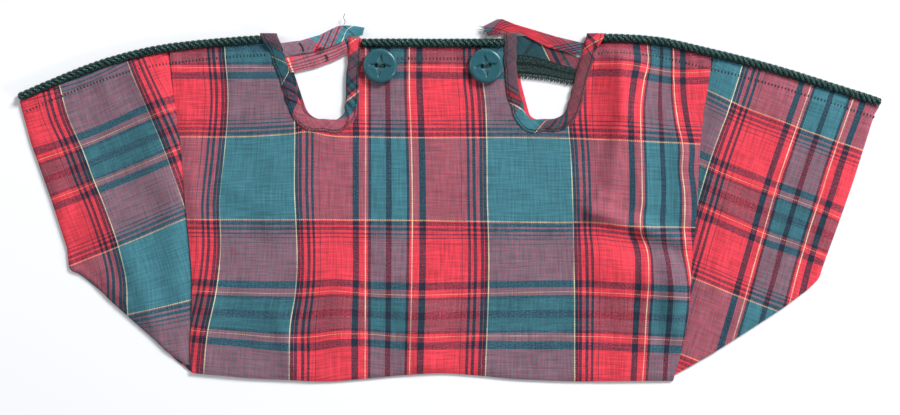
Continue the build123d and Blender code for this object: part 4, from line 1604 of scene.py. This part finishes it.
def turned(center, lean, x, y, z):
    """Places turned by lean degrees in plan and carried to a centre."""
    turn = math.radians(lean)
    return np.stack([
        center[0] + x * math.cos(turn) - y * math.sin(turn),
        center[1] + x * math.sin(turn) + y * math.cos(turn), z], -1)


class CoverButtons(bpy.types.Operator):
    """Turns the two dished buttons and sews them on"""
    bl_idname = "cover.buttons"
    bl_label = "Buttons"

    def execute(self, context):
        for side, lean in (("left", -5.0), ("right", 8.0)):
            low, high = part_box(side + "_button")
            center = np.array([(low[0] + high[0]) / 2, (low[1] + high[1]) / 2]) / MM
            button = self.button(side + "_button_disc", center, lean, low[2] / MM, high[2] / MM)
            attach(button, side + "_button")
            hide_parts(side + "_button")
            thread = self.thread(side + "_sewn_thread", center, lean, high[2] / MM)
            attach(thread, side + "_button")
            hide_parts(side + "_button_thread")
            shank = self.shank(side + "_thread_shank", center)
            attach(shank, "button_flap")
            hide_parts(side + "_button_shank")
        return {"FINISHED"}

    def button(self, name, center, lean, low, high):
        """Profile turned round the axis, with wells and a sunk four-pointed star.

        Across the face the height is a flat dish, a rounded rim and a rounded side;
        each of the star's points is a valley whose straight walls narrow outward from
        near the middle, and each well drops steeply inside its radius.
        """
        radius = bpy.context.scene.cover_sizes.button / MM / 2
        face = np.concatenate([np.linspace(0.02, 8.6, 40), np.linspace(8.75, 9.5, 5)])
        dish = high - 0.3
        crest = np.array([
            (9.9, high - 0.01), (10.3, high - 0.07), (10.7, high - 0.2), (11.05, high - 0.38),
            (11.4, high - 0.65), (11.7, high - 0.98), (11.9, high - 1.35), (12.0, high - 1.8),
            (11.97, low + 1.0), (11.7, low + 0.35), (11.1, low), (8.0, low), (0.02, low),
        ])
        crest = crest * np.array([radius / 12.0, 1.0])
        rise = dish + 0.3 * smooth((face - 6.8) / 2.8)
        profile = np.concatenate([np.stack([face, rise], -1), crest])
        ring = 120
        angle = np.linspace(0, 2 * np.pi, ring, endpoint=False)
        x = profile[:, :1] * np.cos(angle)
        y = profile[:, :1] * np.sin(angle)
        z = np.broadcast_to(profile[:, 1:], x.shape).copy()
        rows = len(face)
        r = face[:, None]
        star = np.zeros((rows, ring))
        for tilt in (0.0, np.pi / 2):
            off = np.abs(-x[:rows] * np.sin(tilt) + y[:rows] * np.cos(tilt))
            along = np.abs(x[:rows] * np.cos(tilt) + y[:rows] * np.sin(tilt))
            wide = 2.1 * np.minimum((8.6 - along) / 5.0, (along + 1.6) / 3.0)
            valley = np.clip(1 - off / np.maximum(wide, 0.05), 0, 1)
            star = np.maximum(star, valley * smooth((8.6 - along) / 2.0))
        z[:rows] -= 1.3 * star + 0.1 * smooth(1 - r / 3.4)
        for hole in (-2.45, 2.45):
            away = np.hypot(x[:rows] - hole, y[:rows])
            z[:rows] -= 1.8 * smooth((1.45 - away) / 0.4)
        z[:rows] = np.maximum(z[:rows], low + 0.4)
        points = turned(center, lean, x, y, z).reshape(-1, 3)
        faces = facing_out(tube_faces(len(profile), ring), points)
        uv = np.stack([x, y], -1).reshape(-1, 2)
        return mesh_piece(name, points, faces, uv, "button plastic", "button")

    def thread(self, name, center, lean, high):
        """Three strands across the face, from well to well, in a low arch."""
        s = np.linspace(-1, 1, 15)
        paths = []
        for off in (-0.34, 0.0, 0.34):
            x = 2.4 * np.sin(s * np.pi / 2)
            y = off * (1.0 - 0.5 * s ** 2) * 1.4
            z = high - 0.75 + 0.2 * (1 - (off / 0.34) ** 2)
            z = z - 1.8 * smooth((np.abs(s) - 0.55) / 0.45)
            paths.append(turned(center, lean, x, y, z))
        return tubes(name, paths, 0.26, "overlock yarn", "sewing_thread", ring=7)

    def shank(self, name, center):
        """Post of wound thread: a helix of close turns."""
        s = np.linspace(0, 1, 60)
        angle = s * 2 * np.pi * 3.2
        path = np.stack([center[0] + 1.2 * np.cos(angle), center[1] + 1.2 * np.sin(angle),
                         3.45 + 0.5 * s], -1)
        core = np.stack([np.full(6, center[0]), np.full(6, center[1]),
                         np.linspace(3.25, 4.1, 6)], -1)
        core[:, 0] += np.linspace(0, 0.01, 6)
        return tubes(name, [path, core + np.array([0.3, 0, 0]), core - np.array([0.3, 0, 0])], 0.36,
                     "dark thread", "sewing_thread", ring=7)


class CoverPanel(bpy.types.Panel):
    """Buttons that build the cover piece by piece"""
    bl_idname = "VIEW3D_PT_cover"
    bl_label = "Bagpipe bag cover"
    bl_space_type = "VIEW_3D"
    bl_region_type = "UI"
    bl_category = "Cover"

    def draw(self, context):
        column = self.layout.column()
        for group in (context.scene.cover_sizes, context.scene.cover_colours):
            for name in group.__annotations__:
                column.prop(group, name)
        for operator in OPERATORS:
            column.operator(operator.bl_idname)


# ---- finishes by name ----

PLAIN = [(0.0, 0)]
LEFT_TAPE_WARP = [
    (0, "dim teal"), (30, "navy"), (52, "red"), (88, "dim teal"), (99, "red"),
    (103, "navy"), (105, "dim teal"), (109, "navy"), (112, "dim teal"), (120, "navy"),
    (121, "dim teal"), (131, "red"),
]
LEFT_TAPE_WEFT = [
    (0, "dim red"), (6, "navy"), (7.5, "dim red"), (9, "navy"), (11, "dim teal"), (20, "navy"),
    (21, "dim teal"), (30, "navy"), (33, "red"), (34.5, "teal"), (37, "red"), (38.5, "navy"),
    (41, "red"), (42.5, "teal"), (45, "red"), (46.5, "navy"), (49, "teal"), (86, "navy"),
    (88, "teal"), (92, "navy"), (95, "teal"), (99, "navy"), (101, "dim red"), (104, "navy"),
    (106, "dim teal"), (109, "navy"), (112, "dim red"), (125, "navy"), (127, "dim red"),
    (131, "red"),
]
RIGHT_TAPE_WARP = [
    (0, "red"), (4, "navy"), (6, "red"), (10, "navy"), (12, "dim red"), (58, "navy"),
    (60, "dim red"), (62, "dim teal"), (64, "dim red"), (66, "navy"), (68, "dim red"),
    (70, "dim teal"), (72, "dim red"), (74.5, "teal"), (92.5, "navy"), (95, "dim teal"),
    (97, "navy"), (99, "dim red"), (101.5, "navy"), (103.5, "dim teal"), (106, "navy"),
    (107, "dim teal"),
]
RIGHT_TAPE_WEFT = [
    (0, "navy"), (2, "red"), (6, "navy"), (7, "red"), (12, "dim teal"), (74, "teal"),
    (91, "dim red"),
]
FINE_CHECK = [(0, "teal"), (1.4, "navy"), (3.4, "red"), (4.6, "teal"), (6.2, "navy"), (8, "red"),
              (9.2, "navy"), (11, "teal"), (12.6, "red"), (13.8, "navy"), (15.8, "red"),
              (17, "teal"), (18.6, "navy")]
LEFT_BAND_LINES = [(0, 0), (1.2, 0.4), (1.9, 0), (3.0, 0.4), (3.7, 0), (5.0, 0.4), (5.9, 0),
                   (7.4, 0.4), (8.3, 0)]
FINISHES = {
    "tartan": woven,
    "left tape": lambda name: woven(
        name, LEFT_TAPE_WARP, LEFT_TAPE_WEFT,
        [(0, 0), (30, 1), (30.9, 0), (99.5, 1), (100.4, 0), (139, 1), (140, 0)],
        [(0, 0), (17, 1), (17.8, 0)], 150.0, 0.78, 0.95, None, 1.7),
    "right tape": lambda name: woven(
        name, RIGHT_TAPE_WARP, RIGHT_TAPE_WEFT,
        [(0, 0), (73.4, 1), (74.3, 0), (91.8, 1), (92.7, 0)],
        [(0, 0), (7, 1), (8, 0)], 150.0, 0.78, 0.95, None, 1.7),
    # The left back tape is navy, red and teal at 0.6 of its brightness: painted shade of the dark
    # gap between the layers at the left opening; the right back tape is plain red.
    "left back tape": lambda name: woven(
        name, [(0, "navy"), (20, "red"), (24, "navy"), (30, "red")], [(0, "teal")], PLAIN, PLAIN,
        150.0, 0.78, 0.6),
    "right back tape": lambda name: woven(
        name, [(0, "red")], [(0, "red")], PLAIN, PLAIN, 150.0, 0.78),
    "left strap": lambda name: woven(
        name, [(0, "teal"), (24, "red"), (25.5, "navy"), (27, "red"), (28.5, "teal"), (30, "red"),
               (31.5, "navy"), (33, "red"), (34.5, "teal"), (36, "red"), (37.5, "navy"),
               (39, "red"), (40.5, "teal")],
        [(0, "red"), (26, "teal"), (50, "navy"), (52, "teal")],
        [(0, 0), (46.5, 1), (47.3, 0)], PLAIN, 64.0, -0.7, 1.3, [(0, 0), (2.6, 0.5), (3.0, 0)]),
    "right strap": lambda name: woven(
        name, FINE_CHECK + [(20, "red"), (62, "navy"), (63.5, "red"), (65.5, "navy"), (67, "red"),
                            (68.5, "navy"), (70.5, "red"), (72, "navy"), (74, "teal")],
        FINE_CHECK + [(20, "red"), (60, "navy"), (62, "red"), (64, "teal"), (65.5, "navy"),
                      (67.5, "red"), (69, "navy"), (71, "teal"), (72.5, "navy")],
        PLAIN, PLAIN, 76.0, 0.7, 0.95, [(0, 0), (6.2, 0.6), (6.8, 0)]),
    "crimson band": lambda name: woven(
        name, [(0, "red"), (50, "navy"), (52, "red"), (54, "navy")], [(0, "red"), (9, "teal")],
        [(0, 0), (8.2, 1), (9.2, 0)], PLAIN, 64.0, 0.3, 1.45, LEFT_BAND_LINES),
    "green band": lambda name: woven(
        name,
        [(0, "dim teal"), (37, "red"), (42, "navy"), (46, "red"), (51, "dim teal"), (54, "red")],
        [(0, "dim teal"), (8, "navy"), (11, "dim teal"), (36, "teal"), (52, "navy"), (54, "teal")],
        [(0, 0), (36.4, 1), (37.3, 0)], PLAIN, 64.0, 0.6, 0.62, [(0, 1), (11, 0)]),
    "cord yarn": cord_yarn,
    "lip tape": lambda name: sewing_yarn(name, bpy.context.scene.cover_colours.cord),
    "dark thread": lambda name: sewing_yarn(name, bpy.context.scene.cover_colours.stitching),
    "maroon thread": lambda name: sewing_yarn(name, (0.11, 0.028, 0.045)),
    "overlock yarn": lambda name: fluffy_yarn(name, (0.004, 0.012, 0.011), (0.04, 0.1, 0.09)),
    "pale thread": lambda name: fluffy_yarn(name, (0.3, 0.4, 0.4), (0.85, 0.88, 0.85)),
    "button plastic": button_plastic,
    "pale table": table_top,
}

OPERATORS = (
    CoverStage, CoverBackCloth, CoverFrontCloth, CoverBindings, CoverBands, CoverStraps,
    CoverCords, CoverStitching, CoverLooseThreads, CoverButtons,
)
CLASSES = (CoverSizes, CoverColours, *OPERATORS, CoverPanel)


def register():
    for item in CLASSES:
        bpy.utils.register_class(item)
    bpy.types.Scene.cover_sizes = bpy.props.PointerProperty(type=CoverSizes)
    bpy.types.Scene.cover_colours = bpy.props.PointerProperty(type=CoverColours)


def unregister():
    del bpy.types.Scene.cover_colours
    del bpy.types.Scene.cover_sizes
    for item in reversed(CLASSES):
        bpy.utils.unregister_class(item)


def main():
    """Builds the whole cover."""
    register()
    for operator in OPERATORS:
        group, name = operator.bl_idname.split(".")
        getattr(getattr(bpy.ops, group), name)()


if __name__ == "__main__":
    main()
